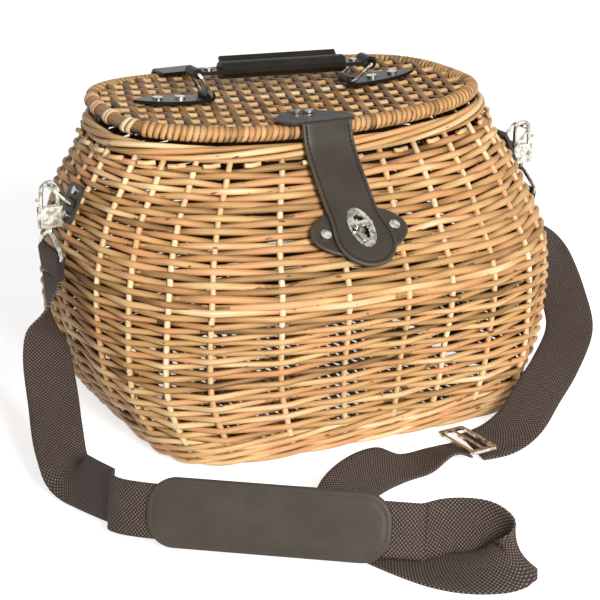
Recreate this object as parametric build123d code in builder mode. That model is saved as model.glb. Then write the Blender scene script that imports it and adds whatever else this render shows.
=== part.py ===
from build123d import *
from math import atan2, cos, degrees, hypot, pi, radians, sin, sqrt
import os

os.makedirs("parts", exist_ok=True)

# Wicker mushroom basket with a hinged lid, a turn-lock strap, a carrying handle and a shoulder strap.
# Millimetres. The origin is the middle of the foot on the ground, +Z up, and the closure faces -Y.

# Basket wall: five levels, each with its height, half width, front and back reach, and squareness
foot_half_width = 155
foot_front = 133
foot_back = 133
foot_squareness = 5.5
flare_height = 64
flare_half_width = 192
flare_front = 145
flare_back = 150
flare_squareness = 3.6
belly_height = 128
belly_half_width = 200
belly_front = 167
belly_back = 160
belly_squareness = 2.66
shoulder_height = 178
shoulder_half_width = 190.6
shoulder_front = 114
shoulder_back = 152
shoulder_squareness = 2.5
rim_height = 227
rim_half_width = 157
rim_front = 65
rim_back = 135
rim_squareness = 2.43
wall_thickness = 9
outline_points = 20
wall_outline_count = 40
bar_sides = 8
bar_stations = 32

# Uprights, base and border
front_stake_turns = (199.1, 211.8, 222.5, 231.5, 245.5, 259.8, 273.7, 284.4, 296, 309.1)
other_stake_count = 20
stake_radius = 2.7
stake_gap = 1.6
base_thickness = 5
base_gap = 0.8
base_stick_radius = 3
base_stick_count = 5
base_stick_pitch = 42
border_radius = 6
border_overhang = 2
seat_gap = 0.3

# Lid: hoop, woven panel and rods, all lifted towards the two ends on one large arc
lid_half_width = 157.8
lid_front = 69.1
lid_back = 139.3
lid_front_squareness = 2.6
lid_back_squareness = 2.9
lid_end_lift = 9.6
hoop_radius = 5.5
skein_thickness = 1
skein_width = 4.5
lashing_spacing = 3
panel_thickness = 3.5
panel_drop = 1.2
panel_clearance = 2
lid_rod_radius = 2.2
lid_rod_count = 9
lid_rod_margin = 17
lid_step = 50

# Leather, rivets and wire
leather = 2.5
rivet_head_radius = 4.2
rivet_head_height = 1.6
rivet_shank_radius = 1.5
rivet_clearance = 0.1
rivet_sides = 16
shank_sides = 8
pin_clearance = 0.1
wire_radius = 1.5

# Lid hinges: two leather loops round the hoop and the border
hinge_spacing = 94
hinge_width = 32
hinge_slack = 1
hinge_roll_radius = 1.6
hinge_tongue = 18
hinge_pivot_out = 5.3
hinge_leaf_drop = 25

# Closure strap, turn lock and its backing
closure_offset = -9
closure_width = 42
closure_bulb = 48
closure_tongue = 42
flap_thickness = 3
flap_bend_radius = 10
flap_knee_out = 7.7
flap_knee_drop = 17.3
flap_flat_share = 0.32
flap_neck_share = 0.5
flap_shoulder_share = 0.3
flap_end_reach = 26
fold_radius = 1.6
fold_out = 3
lock_height = 168.6
backing_half_width = 39
backing_half_height = 20
backing_lift = 1.6
lock_rivet_spacing = 57.4
eyelet_width = 20
eyelet_height = 36
eyelet_thickness = 1.5
slot_width = 8
slot_height = 22
flap_window_margin = 1.2
lock_plate_width = 6.4
lock_plate_height = 19
lock_plate_thickness = 1.2
post_width = 5.6
post_height = 5.2
knob_length = 15
knob_width = 5
knob_thickness = 3.6
knob_pin_radius = 1.4
knob_head_radius = 2.4
knob_head_height = 0.8
running_clearance = 0.06

# Carrying handle
handle_y = 30
tab_pivot_x = 62
tab_length = 62
tab_width = 24
tab_rivet_1 = 23
tab_rivet_2 = 42
loop_radius = 4.2
loop_width = 16
ring_reach = 22
ring_width = 22
ring_corner = 3
left_ring_angle = 61
right_ring_angle = 38
grip_radius = 7
grip_sides = 20
grip_end_gap = 22
grip_strap_thickness = 3
grip_rivet_inset = 12
grip_flange_depth = 6
open_pivot_clearance = 1.2
grip_core_radius = 2.5

# Side anchors, rings and snap hooks
anchor_y = -8
anchor_height = 183
anchor_width = 24
anchor_length = 30
anchor_lift = 1
anchor_rivet_reach = 10
d_ring_width = 22
d_ring_reach = 19
d_ring_corner = 2.5
d_ring_angle = 45
hook_wire_radius = 1.75
hook_inner_radius = 5
hook_play = 0.2
hook_block_drop = 12
hook_block_height = 16
hook_block_half_width = 9.5
hook_block_thickness = 6
gate_radius = 1.5
gate_travel = 8
gate_insert = 6
gate_stud_drop = 6
gate_stud_radius = 1.2
gate_stud_reach = 3
swivel_stem_radius = 2.2
swivel_stem_length = 10
swivel_stem_insert = 5
eye_height = 16
eye_half_width = 21.5
eye_top_half_width = 5
eye_shoulder = 6
eye_corner = 2
eye_wire_radius = 1.75

# Shoulder strap
webbing_width = 38
webbing_thickness = 2
webbing_loop_drop = 16
webbing_slack = 0.3
pad_width = 48
pad_length = 168
pad_corner = 20
pad_outer = 2.5
pad_inner = 2
pad_seam = 4
pad_centre_height = 27.5
slider_length = 24
slider_height = 2.2
slider_side = 3.5
slider_bar = 3

# Shoulder strap as it lies: x, y, z of the webbing's middle, then turn and tilt of its width in degrees
left_route = [(-207.9, -8, 130.2, 90, 0), (-210.5, -10.5, 118, 76, 0), (-214.5, -15, 105, 50, 0), (-218, -18, 94, 16, 0),
              (-220.5, -24, 83, -11, 0), (-223.5, -36, 67, -25, 0), (-228, -57, 49, -27, 0), (-234, -80, 35, -25, 0),
              (-238, -100, 23, 10, 5), (-239, -120, 17, 55, 25), (-237, -146, 20, 58, 50), (-232, -178, 24, 56, 66)]
pad_start = (-223.6, -217.7)
pad_end = (-81.4, -321.3)
pad_tilt = 72
loop_route = [(-64, -326, 25, 68, 73), (-46, -330, 27, 62, 75), (-27, -344, 28, 43, 85),
              (-16, -362, 23, -171, 75), (-22, -374, 16, 111, 45), (-42, -368, 9.5, 56, 25), (-60, -350, 6, 32, 15),
              (-74, -320, 3, 21, 5), (-82, -292, 1.2, 10, 0), (-84, -262, 2.3, 0, -3), (-82, -240, 5, -19, -10),
              (-70, -222, 9.5, -47, -25), (-45, -205, 11.5, -61, -32), (-15, -192, 9.5, -70, -25),
              (12, -184, 2, -79, 0), (36, -182, 6.5, -90, 15), (52, -183.5, 4.6, -94, 6)]
rise_route = [(60, -184, 6, -85, -8), (84, -184, 8.5, -62, -12), (108, -176, 15, -45, -12), (134, -159, 27, -38, -8),
              (163, -140, 41, -34, -4), (195, -110, 56, -34, 0), (211, -74, 73, -30, 0), (219, -44, 90, -18, 0),
              (220, -27, 104, 15, 0), (216, -15, 117, 62, 0), (209.5, -9.5, 124.5, 86, 0), (207.9, -8, 130.2, 90, 0)]

levels = [0, flare_height, belly_height, shoulder_height, rim_height]
half_widths = [foot_half_width, flare_half_width, belly_half_width, shoulder_half_width, rim_half_width]
fronts = [foot_front, flare_front, belly_front, shoulder_front, rim_front]
backs = [foot_back, flare_back, belly_back, shoulder_back, rim_back]
squarenesses = [foot_squareness, flare_squareness, belly_squareness, shoulder_squareness, rim_squareness]


def level_slope(values, i):
    """Slope of a smooth line through the levels that never overshoots a level."""
    if i == 0 or i == len(values) - 1:
        j = min(i, len(values) - 2)
        end = (values[j + 1] - values[j]) / (levels[j + 1] - levels[j])
        if i > 0:
            return end
        return end + (end - level_slope(values, 1)) / 2
    below = (values[i] - values[i - 1]) / (levels[i] - levels[i - 1])
    above = (values[i + 1] - values[i]) / (levels[i + 1] - levels[i])
    if below * above <= 0:
        return 0
    return 2 * below * above / (below + above)


def at_height(values, height):
    """Value of one wall size at any height, eased between the levels."""
    i = max(k for k in range(len(levels) - 1) if levels[k] <= height)
    span = levels[i + 1] - levels[i]
    t = (height - levels[i]) / span
    start = level_slope(values, i) * span
    end = level_slope(values, i + 1) * span
    rise = values[i + 1] - values[i]
    return values[i] + t * (start + t * (3 * rise - 2 * start - end + t * (start + end - 2 * rise)))


def oval_point(half_width, front, back, front_squareness, back_squareness, turn):
    """Point of a rounded oval whose front and back reach differ, at a turn in radians."""
    depth = front if sin(turn) < 0 else back
    squareness = front_squareness if sin(turn) < 0 else back_squareness
    way = atan2(depth * sin(turn), half_width * cos(turn))
    reach = (abs(cos(way) / half_width) ** squareness + abs(sin(way) / depth) ** squareness) ** (-1 / squareness)
    return reach * cos(way), reach * sin(way)


def wall_point(height, inset, turn):
    """Point of the wall's outline at a height, moved in by an inset."""
    half_width = at_height(half_widths, height) - inset
    front = at_height(fronts, height) - inset
    back = at_height(backs, height) - inset
    squareness = at_height(squarenesses, height)
    return oval_point(half_width, front, back, squareness, squareness, turn)


def wall_outline_points(height, inset):
    """Points of the wall's outline at a height, evenly spaced all the way round."""
    fine = [wall_point(height, inset, pi * i / 360) for i in range(721)]
    run = [0]
    for i in range(720):
        run.append(run[-1] + hypot(fine[i + 1][0] - fine[i][0], fine[i + 1][1] - fine[i][1]))
    points = []
    for i in range(wall_outline_count):
        goal = run[-1] * i / wall_outline_count
        k = min(range(721), key=lambda place: abs(run[place] - goal))
        points.append(fine[k])
    return points


def wall_front(height, x):
    """Y of the wall's outer face in front, at a height and an offset from the middle."""
    share = abs(x / at_height(half_widths, height)) ** at_height(squarenesses, height)
    return -at_height(fronts, height) * (1 - share) ** (1 / at_height(squarenesses, height))


def wall_side(height, y):
    """X of the wall's outer face at the right side, at a height and a distance back."""
    share = abs(y / at_height(backs, height)) ** at_height(squarenesses, height)
    return at_height(half_widths, height) * (1 - share) ** (1 / at_height(squarenesses, height))


def lid_point(inset, turn):
    """Point of the lid's outline seen from above, moved in by an inset."""
    return oval_point(lid_half_width - inset, lid_front - inset, lid_back - inset,
                      lid_front_squareness, lid_back_squareness, turn)


lid_arc_radius = (lid_half_width ** 2 + lid_end_lift ** 2) / (2 * lid_end_lift)


def lid_rise(x):
    """Lift of the lid at a distance from its middle, on the large arc."""
    return lid_arc_radius - sqrt(lid_arc_radius ** 2 - x ** 2)


def panel_rise(x):
    """Lift of the woven panel, straight between steps of the large arc."""
    step = abs(x) // lid_step
    near = lid_rise(step * lid_step)
    far = lid_rise((step + 1) * lid_step)
    return near + (far - near) * (abs(x) / lid_step - step)


turns = [2 * pi * i / outline_points for i in range(outline_points)]
border_height = rim_height - border_radius
wall_top = border_height - border_radius - seat_gap
wall_heights = [0, flare_height / 5, flare_height / 2, flare_height, (flare_height + belly_height) / 2, belly_height,
                (belly_height + shoulder_height) / 2, shoulder_height, (shoulder_height + wall_top) / 2, wall_top]
hoop_height = rim_height + seat_gap + skein_thickness + hoop_radius
lid_top = hoop_height + hoop_radius + skein_thickness
panel_top = lid_top - panel_drop
panel_inset = 2 * (hoop_radius + skein_thickness) + panel_clearance


def wall_corners(height, inset):
    """Corners of the wall's outline at a height."""
    return [Vector(x, y, height) for x, y in wall_outline_points(height, inset)]


def wall_outline(height, inset):
    """Closed outline of the wall on the level plane at a height."""
    with BuildSketch(Plane.XY.offset(height)) as outline:
        with BuildLine():
            Polyline(*wall_outline_points(height, inset), close=True)
        make_face()
    return outline.sketch


def lid_outline(height, inset):
    """Closed outline of the lid on the level plane at a height."""
    with BuildSketch(Plane.XY.offset(height)) as outline:
        with BuildLine():
            Polyline(*[lid_point(inset, 2 * pi * i / bar_stations) for i in range(bar_stations)], close=True)
        make_face()
    return outline.sketch


def flat_solid(rings, closed=False):
    """Solid through rings of corners, its faces flat triangles between neighbouring rings."""
    pairs = list(zip(rings, rings[1:]))
    faces = []
    if closed:
        pairs.append((rings[-1], rings[0]))
    else:
        faces = [Face(Wire.make_polygon(rings[-1])), Face(Wire.make_polygon(rings[0][::-1]))]
    for near, far in pairs:
        for k in range(len(near)):
            if k <= len(near) // 2:
                halves = [[near[k - 1], near[k], far[k]], [near[k - 1], far[k], far[k - 1]]]
            else:
                halves = [[near[k - 1], near[k], far[k - 1]], [near[k], far[k], far[k - 1]]]
            for half in halves:
                faces.append(Face(Wire.make_polygon(half)))
    return Solid(Shell(faces))


def bar_ring(place, way, side, radius):
    """Corners of a round bar at a place, square to its way, with a flat towards the side direction."""
    across = (side - way * side.dot(way)).normalized()
    over = way.cross(across).normalized()
    corner = radius / cos(pi / bar_sides)
    ring = []
    for k in range(bar_sides):
        turn = 2 * pi * (k + 0.5) / bar_sides
        ring.append(place + across * (corner * cos(turn)) + over * (corner * sin(turn)))
    return ring


def bent_bar(places, side, radius, closed=True):
    """Round bar bent at places, each corner of it square to the middle of its two ways."""
    rings = []
    for i, place in enumerate(places):
        way = Vector(0, 0, 0)
        if closed or i > 0:
            way = way + (place - places[i - 1]).normalized()
        if closed or i < len(places) - 1:
            way = way + (places[(i + 1) % len(places)] - place).normalized()
        rings.append(bar_ring(place, way.normalized(), side, radius))
    return flat_solid(rings, closed)


# Places of the turn lock and the two side anchors on the wall, each with its outward direction
lock_y = wall_front(lock_height, closure_offset)
lock_slope = (wall_front(lock_height + 4, closure_offset) - wall_front(lock_height - 4, closure_offset)) / 8
lock_plane = Plane((closure_offset, lock_y, lock_height), x_dir=(1, 0, 0), z_dir=(0, -1, lock_slope))
lock_up = lock_plane.y_dir
lock_out = lock_plane.z_dir
anchor_x = wall_side(anchor_height, anchor_y)
anchor_slope = (wall_side(anchor_height + 4, anchor_y) - wall_side(anchor_height - 4, anchor_y)) / 8
anchor_planes = [Plane((side * anchor_x, anchor_y, anchor_height), x_dir=(0, side, 0),
                       z_dir=(side, 0, -anchor_slope)) for side in (-1, 1)]
lock_rivet_places = [(-lock_rivet_spacing / 2, 0), (lock_rivet_spacing / 2, 0)]
anchor_rivet_places = [(0, -anchor_rivet_reach), (0, anchor_rivet_reach)]
shank_depth = 4

# Woven wall: one open shell of stakes and weavers, wide at the belly and drawn in to the mouth
with BuildPart() as woven_wall:
    add(flat_solid([wall_corners(height, 0) for height in wall_heights]))
    add(flat_solid([wall_corners(height, wall_thickness) for height in wall_heights]), mode=Mode.SUBTRACT)
    for plane, places in ((lock_plane, lock_rivet_places), (anchor_planes[0], anchor_rivet_places),
                          (anchor_planes[1], anchor_rivet_places)):
        with BuildSketch(plane.offset(-2 * wall_thickness)):
            with Locations(*places):
                RegularPolygon(rivet_shank_radius + rivet_clearance, shank_sides)
        extrude(amount=3 * wall_thickness, mode=Mode.SUBTRACT)
woven_wall.part.label = "woven_wall"
export_step(woven_wall.part, "parts/woven_wall.step")

# Woven base: a flat panel inside the foot of the wall, resting on the ground with it
base_inset = wall_thickness + base_gap
with BuildPart() as woven_base:
    extrude(wall_outline(0, base_inset), amount=base_thickness)
woven_base.part.label = "woven_base"
export_step(woven_base.part, "parts/woven_base.step")

# Base sticks: stout rods inside on the base panel, from end to end
stick_height = base_thickness + base_stick_radius + seat_gap
with BuildPart() as base_sticks:
    for i in range(base_stick_count):
        stick_y = (i - (base_stick_count - 1) / 2) * base_stick_pitch
        share = abs(stick_y / (foot_front - base_inset)) ** foot_squareness
        stick_half = (foot_half_width - base_inset - 2) * (1 - share) ** (1 / foot_squareness)
        with BuildSketch(Plane((-stick_half, stick_y, stick_height), x_dir=(0, 1, 0), z_dir=(1, 0, 0))):
            RegularPolygon(base_stick_radius, bar_sides)
        extrude(amount=2 * stick_half)
base_sticks.part.label = "base_sticks"
export_step(base_sticks.part, "parts/base_sticks.step")

# Side stakes: upright rods that the weavers pass round, showing on the inside of the wall
stake_heights = [base_thickness + seat_gap, flare_height / 2, flare_height, belly_height, shoulder_height, wall_top]
front_share = front_stake_turns[-1] - front_stake_turns[0]
other_step = (360 - front_share) / (other_stake_count + 1)
other_stake_turns = [front_stake_turns[-1] + other_step * (i + 1) for i in range(other_stake_count)]


def stake_place(height, turn):
    """Middle of a stake at a height, kept clear of the sloping inner face of the wall."""
    slope = (hypot(*wall_point(height + 2, 0, turn)) - hypot(*wall_point(height - 2, 0, turn))) / 4
    return wall_point(height, wall_thickness + (stake_radius + stake_gap) * sqrt(1 + slope ** 2), turn)


with BuildPart() as side_stakes:
    for stake_turn in list(front_stake_turns) + other_stake_turns:
        sections = []
        for height in stake_heights:
            with BuildSketch(Plane.XY.offset(height), mode=Mode.PRIVATE) as section:
                with Locations(stake_place(height, radians(stake_turn))):
                    RegularPolygon(stake_radius, 4)
            sections.append(section.sketch)
        loft(sections=sections, ruled=True)
side_stakes.part.label = "side_stakes"
export_step(side_stakes.part, "parts/side_stakes.step")

# Rolled border: the stakes bent down and woven into a round rim
with BuildLine() as border_line:
    Spline(*[wall_point(border_height, border_overhang, turn) + (border_height,) for turn in turns], periodic=True)
border_edge = border_line.edges()[0]
border_places = [border_edge @ (i / bar_stations) for i in range(bar_stations)]
with BuildPart() as rolled_border:
    add(bent_bar(border_places, Vector(0, 0, 1), border_radius))
rolled_border.part.label = "rolled_border"
export_step(rolled_border.part, "parts/rolled_border.step")

# Lid hoop: a stout rod bent to the lid's outline, its two ends a little higher than its middle
hoop_inset = hoop_radius + skein_thickness
hoop_points = [lid_point(hoop_inset, turn) for turn in turns]
with BuildLine() as hoop_line:
    Spline(*[(x, y, hoop_height + lid_rise(x)) for x, y in hoop_points], periodic=True)
hoop_edge = hoop_line.edges()[0]
hoop_places = [hoop_edge @ (i / bar_stations) for i in range(bar_stations)]
with BuildPart() as lid_hoop:
    add(bent_bar(hoop_places, Vector(0, 0, 1), hoop_radius))
lid_hoop.part.label = "lid_hoop"
export_step(lid_hoop.part, "parts/lid_hoop.step")

# Hoop lashings: flat skeins of split willow bound round the hoop
with BuildPart() as hoop_lashings:
    for i in range(1, bar_stations, lashing_spacing):
        ahead = hoop_places[(i + 1) % bar_stations]
        seat = (hoop_places[i] + ahead) * 0.5
        way = (ahead - hoop_places[i]).normalized()
        with BuildSketch(Plane(seat - way * skein_width / 2, x_dir=(0, 0, 1), z_dir=way)):
            RegularPolygon(hoop_radius + skein_thickness, bar_sides, major_radius=False, rotation=180 / bar_sides)
            RegularPolygon(hoop_radius + 0.25, bar_sides, major_radius=False, rotation=180 / bar_sides,
                           mode=Mode.SUBTRACT)
        extrude(amount=skein_width)
hoop_lashings.part.label = "hoop_lashings"
export_step(hoop_lashings.part, "parts/hoop_lashings.step")

# Places of the rivets that go down into the lid: closure root and handle tabs
root_rivet_places = [(closure_offset - 12, -43), (closure_offset - 2, -45)]
tab_rivet_places = [(side * (tab_pivot_x + reach), handle_y)
                    for side in (-1, 1) for reach in (tab_rivet_1, tab_rivet_2)]

# Lid panel: the woven sheet inside the hoop
panel_bottom = panel_top - panel_thickness
panel_steps = [lid_step * i for i in range(-3, 4)]
with BuildPart() as lid_panel:
    extrude(lid_outline(rim_height, panel_inset), amount=60)
    with BuildSketch(Plane.XZ):
        with BuildLine():
            Polyline(*[(x, panel_bottom + panel_rise(x)) for x in panel_steps],
                     *[(x, panel_top + panel_rise(x)) for x in reversed(panel_steps)], close=True)
        make_face()
    extrude(amount=2 * lid_back, both=True, mode=Mode.INTERSECT)
    with BuildSketch(Plane.XY.offset(rim_height)):
        with Locations(*root_rivet_places, *tab_rivet_places):
            RegularPolygon(rivet_shank_radius + 4 * rivet_clearance, shank_sides)
    extrude(amount=60, mode=Mode.SUBTRACT)
lid_panel.part.label = "lid_panel"
export_step(lid_panel.part, "parts/lid_panel.step")

# Lid rods: the long rods that the panel is woven on, from end to end under it
rod_height = panel_top - panel_thickness - seat_gap - lid_rod_radius
rod_front = -(lid_front - panel_inset - lid_rod_margin)
rod_back = lid_back - panel_inset - lid_rod_margin
with BuildPart() as lid_rods:
    for i in range(lid_rod_count):
        rod_y = rod_front + (rod_back - rod_front) * i / (lid_rod_count - 1)
        depth = lid_front if rod_y < 0 else lid_back
        squareness = lid_front_squareness if rod_y < 0 else lid_back_squareness
        share = abs(rod_y / (depth - panel_inset)) ** squareness
        rod_half = (lid_half_width - panel_inset - 3) * (1 - share) ** (1 / squareness)
        rod_steps = [-rod_half] + [x for x in panel_steps if abs(x) < rod_half - 5] + [rod_half]
        sections = []
        for x in rod_steps:
            with BuildSketch(Plane((x, rod_y, rod_height + panel_rise(x)), x_dir=(0, 1, 0), z_dir=(1, 0, 0)),
                             mode=Mode.PRIVATE) as section:
                RegularPolygon(lid_rod_radius, 6)
            sections.append(section.sketch)
        loft(sections=sections, ruled=True)
lid_rods.part.label = "lid_rods"
export_step(lid_rods.part, "parts/lid_rods.step")

# Lid hinges: leather bent over the hoop, meeting leather that runs down the outside of the wall
hinge_x = hinge_spacing / 2
hinge_near = hinge_x - hinge_width / 2
hoop_back_share = 1 - (hinge_near / lid_half_width) ** lid_back_squareness
hinge_hoop_y = lid_back * hoop_back_share ** (1 / lid_back_squareness) - hoop_inset
hinge_hoop_height = hoop_height + lid_rise(hinge_x)
leaf_inner = hoop_inset + hinge_slack
leaf_outer = leaf_inner + leather


def wall_back(height, x):
    """Y of the wall's outer face at the back, at a height and an offset from the middle."""
    share = abs(x / at_height(half_widths, height)) ** at_height(squarenesses, height)
    return at_height(backs, height) * (1 - share) ** (1 / at_height(squarenesses, height))


border_back = wall_back(border_height, hinge_near) - border_overhang
hinge_pivot_y = border_back + hinge_pivot_out
hinge_pivot_height = rim_height + 2 * seat_gap
leaf_start = atan2(hinge_pivot_height - hinge_hoop_height, hinge_pivot_y - hinge_hoop_y)
leaf_middle = (leaf_start + pi / 2) / 2
loop_face = border_back + border_radius + 2 * seat_gap
loop_top = hinge_pivot_height - hinge_roll_radius - 1.4
loop_knee = wall_top
loop_bottom = loop_top - hinge_leaf_drop
loop_foot = wall_back(loop_bottom, hinge_near) + 3 * seat_gap
for side, name in ((-1, "left"), (1, "right")):
    side_plane = Plane((side * hinge_x - hinge_width / 2, 0, 0), x_dir=(0, 1, 0), z_dir=(1, 0, 0))

    # Lid leaf: from the hinge line over the hoop and on to the woven panel
    with BuildPart() as hinge_leaf:
        with BuildSketch(side_plane):
            with BuildLine():
                low = [(hinge_hoop_y + leaf_inner * cos(way), hinge_hoop_height + leaf_inner * sin(way))
                       for way in (leaf_start, leaf_middle, pi / 2)]
                high = [(hinge_hoop_y + leaf_outer * cos(way), hinge_hoop_height + leaf_outer * sin(way))
                        for way in (leaf_start, leaf_middle, pi / 2)]
                ThreePointArc(*low)
                Polyline(low[2], (hinge_hoop_y - hinge_tongue, low[2][1]),
                         (hinge_hoop_y - hinge_tongue, high[2][1]), high[2])
                ThreePointArc(high[2], high[1], high[0])
                Line(high[0], low[0])
            make_face()
            with Locations((hinge_pivot_y, hinge_pivot_height)):
                Circle(hinge_roll_radius)
        extrude(amount=hinge_width)
    hinge_leaf.part.label = "hinge_leaf_" + name
    export_step(hinge_leaf.part, "parts/hinge_leaf_" + name + ".step")

    # Body leaf: from the hinge line down over the border and on down the wall
    with BuildPart() as hinge_anchor:
        with BuildSketch(side_plane):
            with BuildLine():
                Polyline((loop_face, loop_top), (loop_face, loop_knee), (loop_foot, loop_bottom),
                         (loop_foot + leather, loop_bottom), (loop_face + leather, loop_knee),
                         (loop_face + leather, loop_top), close=True)
            make_face()
        extrude(amount=hinge_width)
    hinge_anchor.part.label = "hinge_anchor_" + name
    export_step(hinge_anchor.part, "parts/hinge_anchor_" + name + ".step")

# Closure root: the leather fixed on the lid, with two rivets down into the woven panel
root_bottom = lid_top + lid_rise(closure_offset - closure_bulb / 2) + seat_gap
fold_y = -(lid_front + fold_out)
fold_height = root_bottom + leather / 2
with BuildPart() as closure_root:
    with BuildSketch(Plane.XY.offset(root_bottom)):
        with Locations((closure_offset, fold_y + fold_radius + seat_gap + closure_tongue / 2)):
            RectangleRounded(closure_bulb, closure_tongue, 3)
        with Locations(*root_rivet_places):
            RegularPolygon(rivet_shank_radius + rivet_clearance, shank_sides, mode=Mode.SUBTRACT)
    extrude(amount=leather)
closure_root.part.label = "closure_root"
export_step(closure_root.part, "parts/closure_root.step")

with BuildPart() as closure_rivets:
    with BuildSketch(Plane.XY.offset(root_bottom + leather)):
        with Locations(*root_rivet_places):
            RegularPolygon(rivet_head_radius, rivet_sides)
    extrude(amount=rivet_head_height)
    with BuildSketch(Plane.XY.offset(panel_bottom + 1)):
        with Locations(*root_rivet_places):
            RegularPolygon(rivet_shank_radius, shank_sides)
    extrude(amount=root_bottom + leather - panel_bottom - 1)
closure_rivets.part.label = "closure_rivets"
export_step(closure_rivets.part, "parts/closure_rivets.step")

# Heights of the turn lock's layers above the wall, along the outward direction
backing_top = backing_lift + leather
plate_top = backing_top + lock_plate_thickness
flap_bottom = backing_top + seat_gap
flap_top = flap_bottom + flap_thickness
eyelet_top = flap_top + eyelet_thickness
post_top = eyelet_top + 0.6
knob_bottom = post_top + 0.1
knob_top = knob_bottom + knob_thickness
head_bottom = knob_top + 0.1

# Closure flap: one long leather strap from the fold over the border and down to the lock
flap_middle = (flap_bottom + flap_top) / 2
flap_lock_y = lock_y + lock_out.Y * flap_middle
flap_lock_height = lock_height + lock_out.Z * flap_middle
flap_reach = fold_height - flap_lock_height
flap_flat_up = flap_flat_share * flap_reach
flap_neck = flap_neck_share * flap_reach
flap_shoulder = flap_shoulder_share * flap_reach
flap_points = [(fold_y, fold_height), (fold_y - (flap_knee_out - fold_out), fold_height - flap_knee_drop),
               (flap_lock_y + lock_up.Y * flap_flat_up, flap_lock_height + lock_up.Z * flap_flat_up),
               (flap_lock_y - lock_up.Y * flap_end_reach, flap_lock_height - lock_up.Z * flap_end_reach)]
bulb_drop = lock_up.Z * flap_end_reach
window_width = slot_width + 2 * flap_window_margin
window_height = slot_height + 2 * flap_window_margin
with BuildPart() as closure_flap:
    with BuildSketch(Plane((closure_offset - closure_bulb / 2, 0, 0), x_dir=(0, 1, 0), z_dir=(1, 0, 0))):
        with BuildLine():
            FilletPolyline(*flap_points, radius=flap_bend_radius)
        trace(line_width=flap_thickness)
        with Locations((fold_y, fold_height)):
            Circle(fold_radius)
    extrude(amount=closure_bulb)
    with BuildSketch(Plane((closure_offset, 0, 0), x_dir=(1, 0, 0), z_dir=(0, -1, 0))):
        with BuildLine():
            half = closure_width / 2
            bulb = closure_bulb / 2
            middle = flap_lock_height
            Line((half, fold_height + 10), (-half, fold_height + 10))
            Line((-half, fold_height + 10), (-half, middle + flap_neck))
            Spline((-half, middle + flap_neck), (-half - 0.6, middle + flap_shoulder), (-bulb, middle + 3),
                   (-bulb * 0.72, middle - bulb_drop * 0.72), (0, middle - bulb_drop),
                   (bulb * 0.72, middle - bulb_drop * 0.72), (bulb, middle + 3),
                   (half + 0.6, middle + flap_shoulder), (half, middle + flap_neck), tangents=((0, -1), (0, 1)))
            Line((half, middle + flap_neck), (half, fold_height + 10))
        make_face()
    extrude(amount=200, mode=Mode.INTERSECT)
    with BuildSketch(lock_plane):
        SlotOverall(window_height, window_width, rotation=90)
    extrude(amount=3 * flap_top, mode=Mode.SUBTRACT)
closure_flap.part.label = "closure_flap"
export_step(closure_flap.part, "parts/closure_flap.step")

# Eyelet plate: the oval metal plate on the flap, with a beaded slot that drops over the post
with BuildPart() as eyelet_plate:
    with BuildSketch(lock_plane.offset(flap_top)):
        Ellipse(eyelet_width / 2, eyelet_height / 2)
        SlotOverall(slot_height, slot_width, rotation=90, mode=Mode.SUBTRACT)
    extrude(amount=eyelet_thickness - 0.7)
    with BuildSketch(lock_plane.offset(flap_top)):
        SlotOverall(slot_height + 3, slot_width + 3, rotation=90)
        SlotOverall(slot_height, slot_width, rotation=90, mode=Mode.SUBTRACT)
    extrude(amount=eyelet_thickness)
eyelet_plate.part.label = "eyelet_plate"
export_step(eyelet_plate.part, "parts/eyelet_plate.step")

# Lock backing: the eye-shaped leather on the wall, with its two rivets
with BuildPart() as lock_backing:
    with BuildSketch(lock_plane.offset(backing_lift)):
        Ellipse(backing_half_width, backing_half_height)
        with Locations(*lock_rivet_places):
            RegularPolygon(rivet_shank_radius + rivet_clearance, shank_sides, mode=Mode.SUBTRACT)
    extrude(amount=leather)
lock_backing.part.label = "lock_backing"
export_step(lock_backing.part, "parts/lock_backing.step")

with BuildPart() as lock_rivets:
    with BuildSketch(lock_plane.offset(backing_top)):
        with Locations(*lock_rivet_places):
            RegularPolygon(rivet_head_radius, rivet_sides)
    extrude(amount=rivet_head_height)
    with BuildSketch(lock_plane.offset(-shank_depth)):
        with Locations(*lock_rivet_places):
            RegularPolygon(rivet_shank_radius, shank_sides)
    extrude(amount=shank_depth + backing_top)
lock_rivets.part.label = "lock_rivets"
export_step(lock_rivets.part, "parts/lock_rivets.step")

# Lock post: a plate on the backing, the square post and the headed pin that the knob turns on
with BuildPart() as lock_post:
    with BuildSketch(lock_plane.offset(backing_top)):
        SlotOverall(lock_plate_height, lock_plate_width, rotation=90)
    extrude(amount=lock_plate_thickness)
    with BuildSketch(lock_plane.offset(plate_top)):
        Rectangle(post_width, post_height)
    extrude(amount=post_top - plate_top)
    with BuildSketch(lock_plane.offset(post_top)):
        Circle(knob_pin_radius)
    extrude(amount=head_bottom - post_top)
    with BuildSketch(lock_plane.offset(head_bottom)):
        Circle(knob_head_radius)
    extrude(amount=knob_head_height)
lock_post.part.label = "lock_post"
export_step(lock_post.part, "parts/lock_post.step")

# Turn knob: the bar that lies across the slot when locked and along it when free
with BuildPart() as turn_knob:
    with BuildSketch(lock_plane.offset(knob_bottom)):
        SlotOverall(knob_length, knob_width)
        Circle(knob_pin_radius + running_clearance, mode=Mode.SUBTRACT)
    extrude(amount=knob_thickness)
turn_knob.part.label = "turn_knob"
export_step(turn_knob.part, "parts/turn_knob.step")

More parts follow.
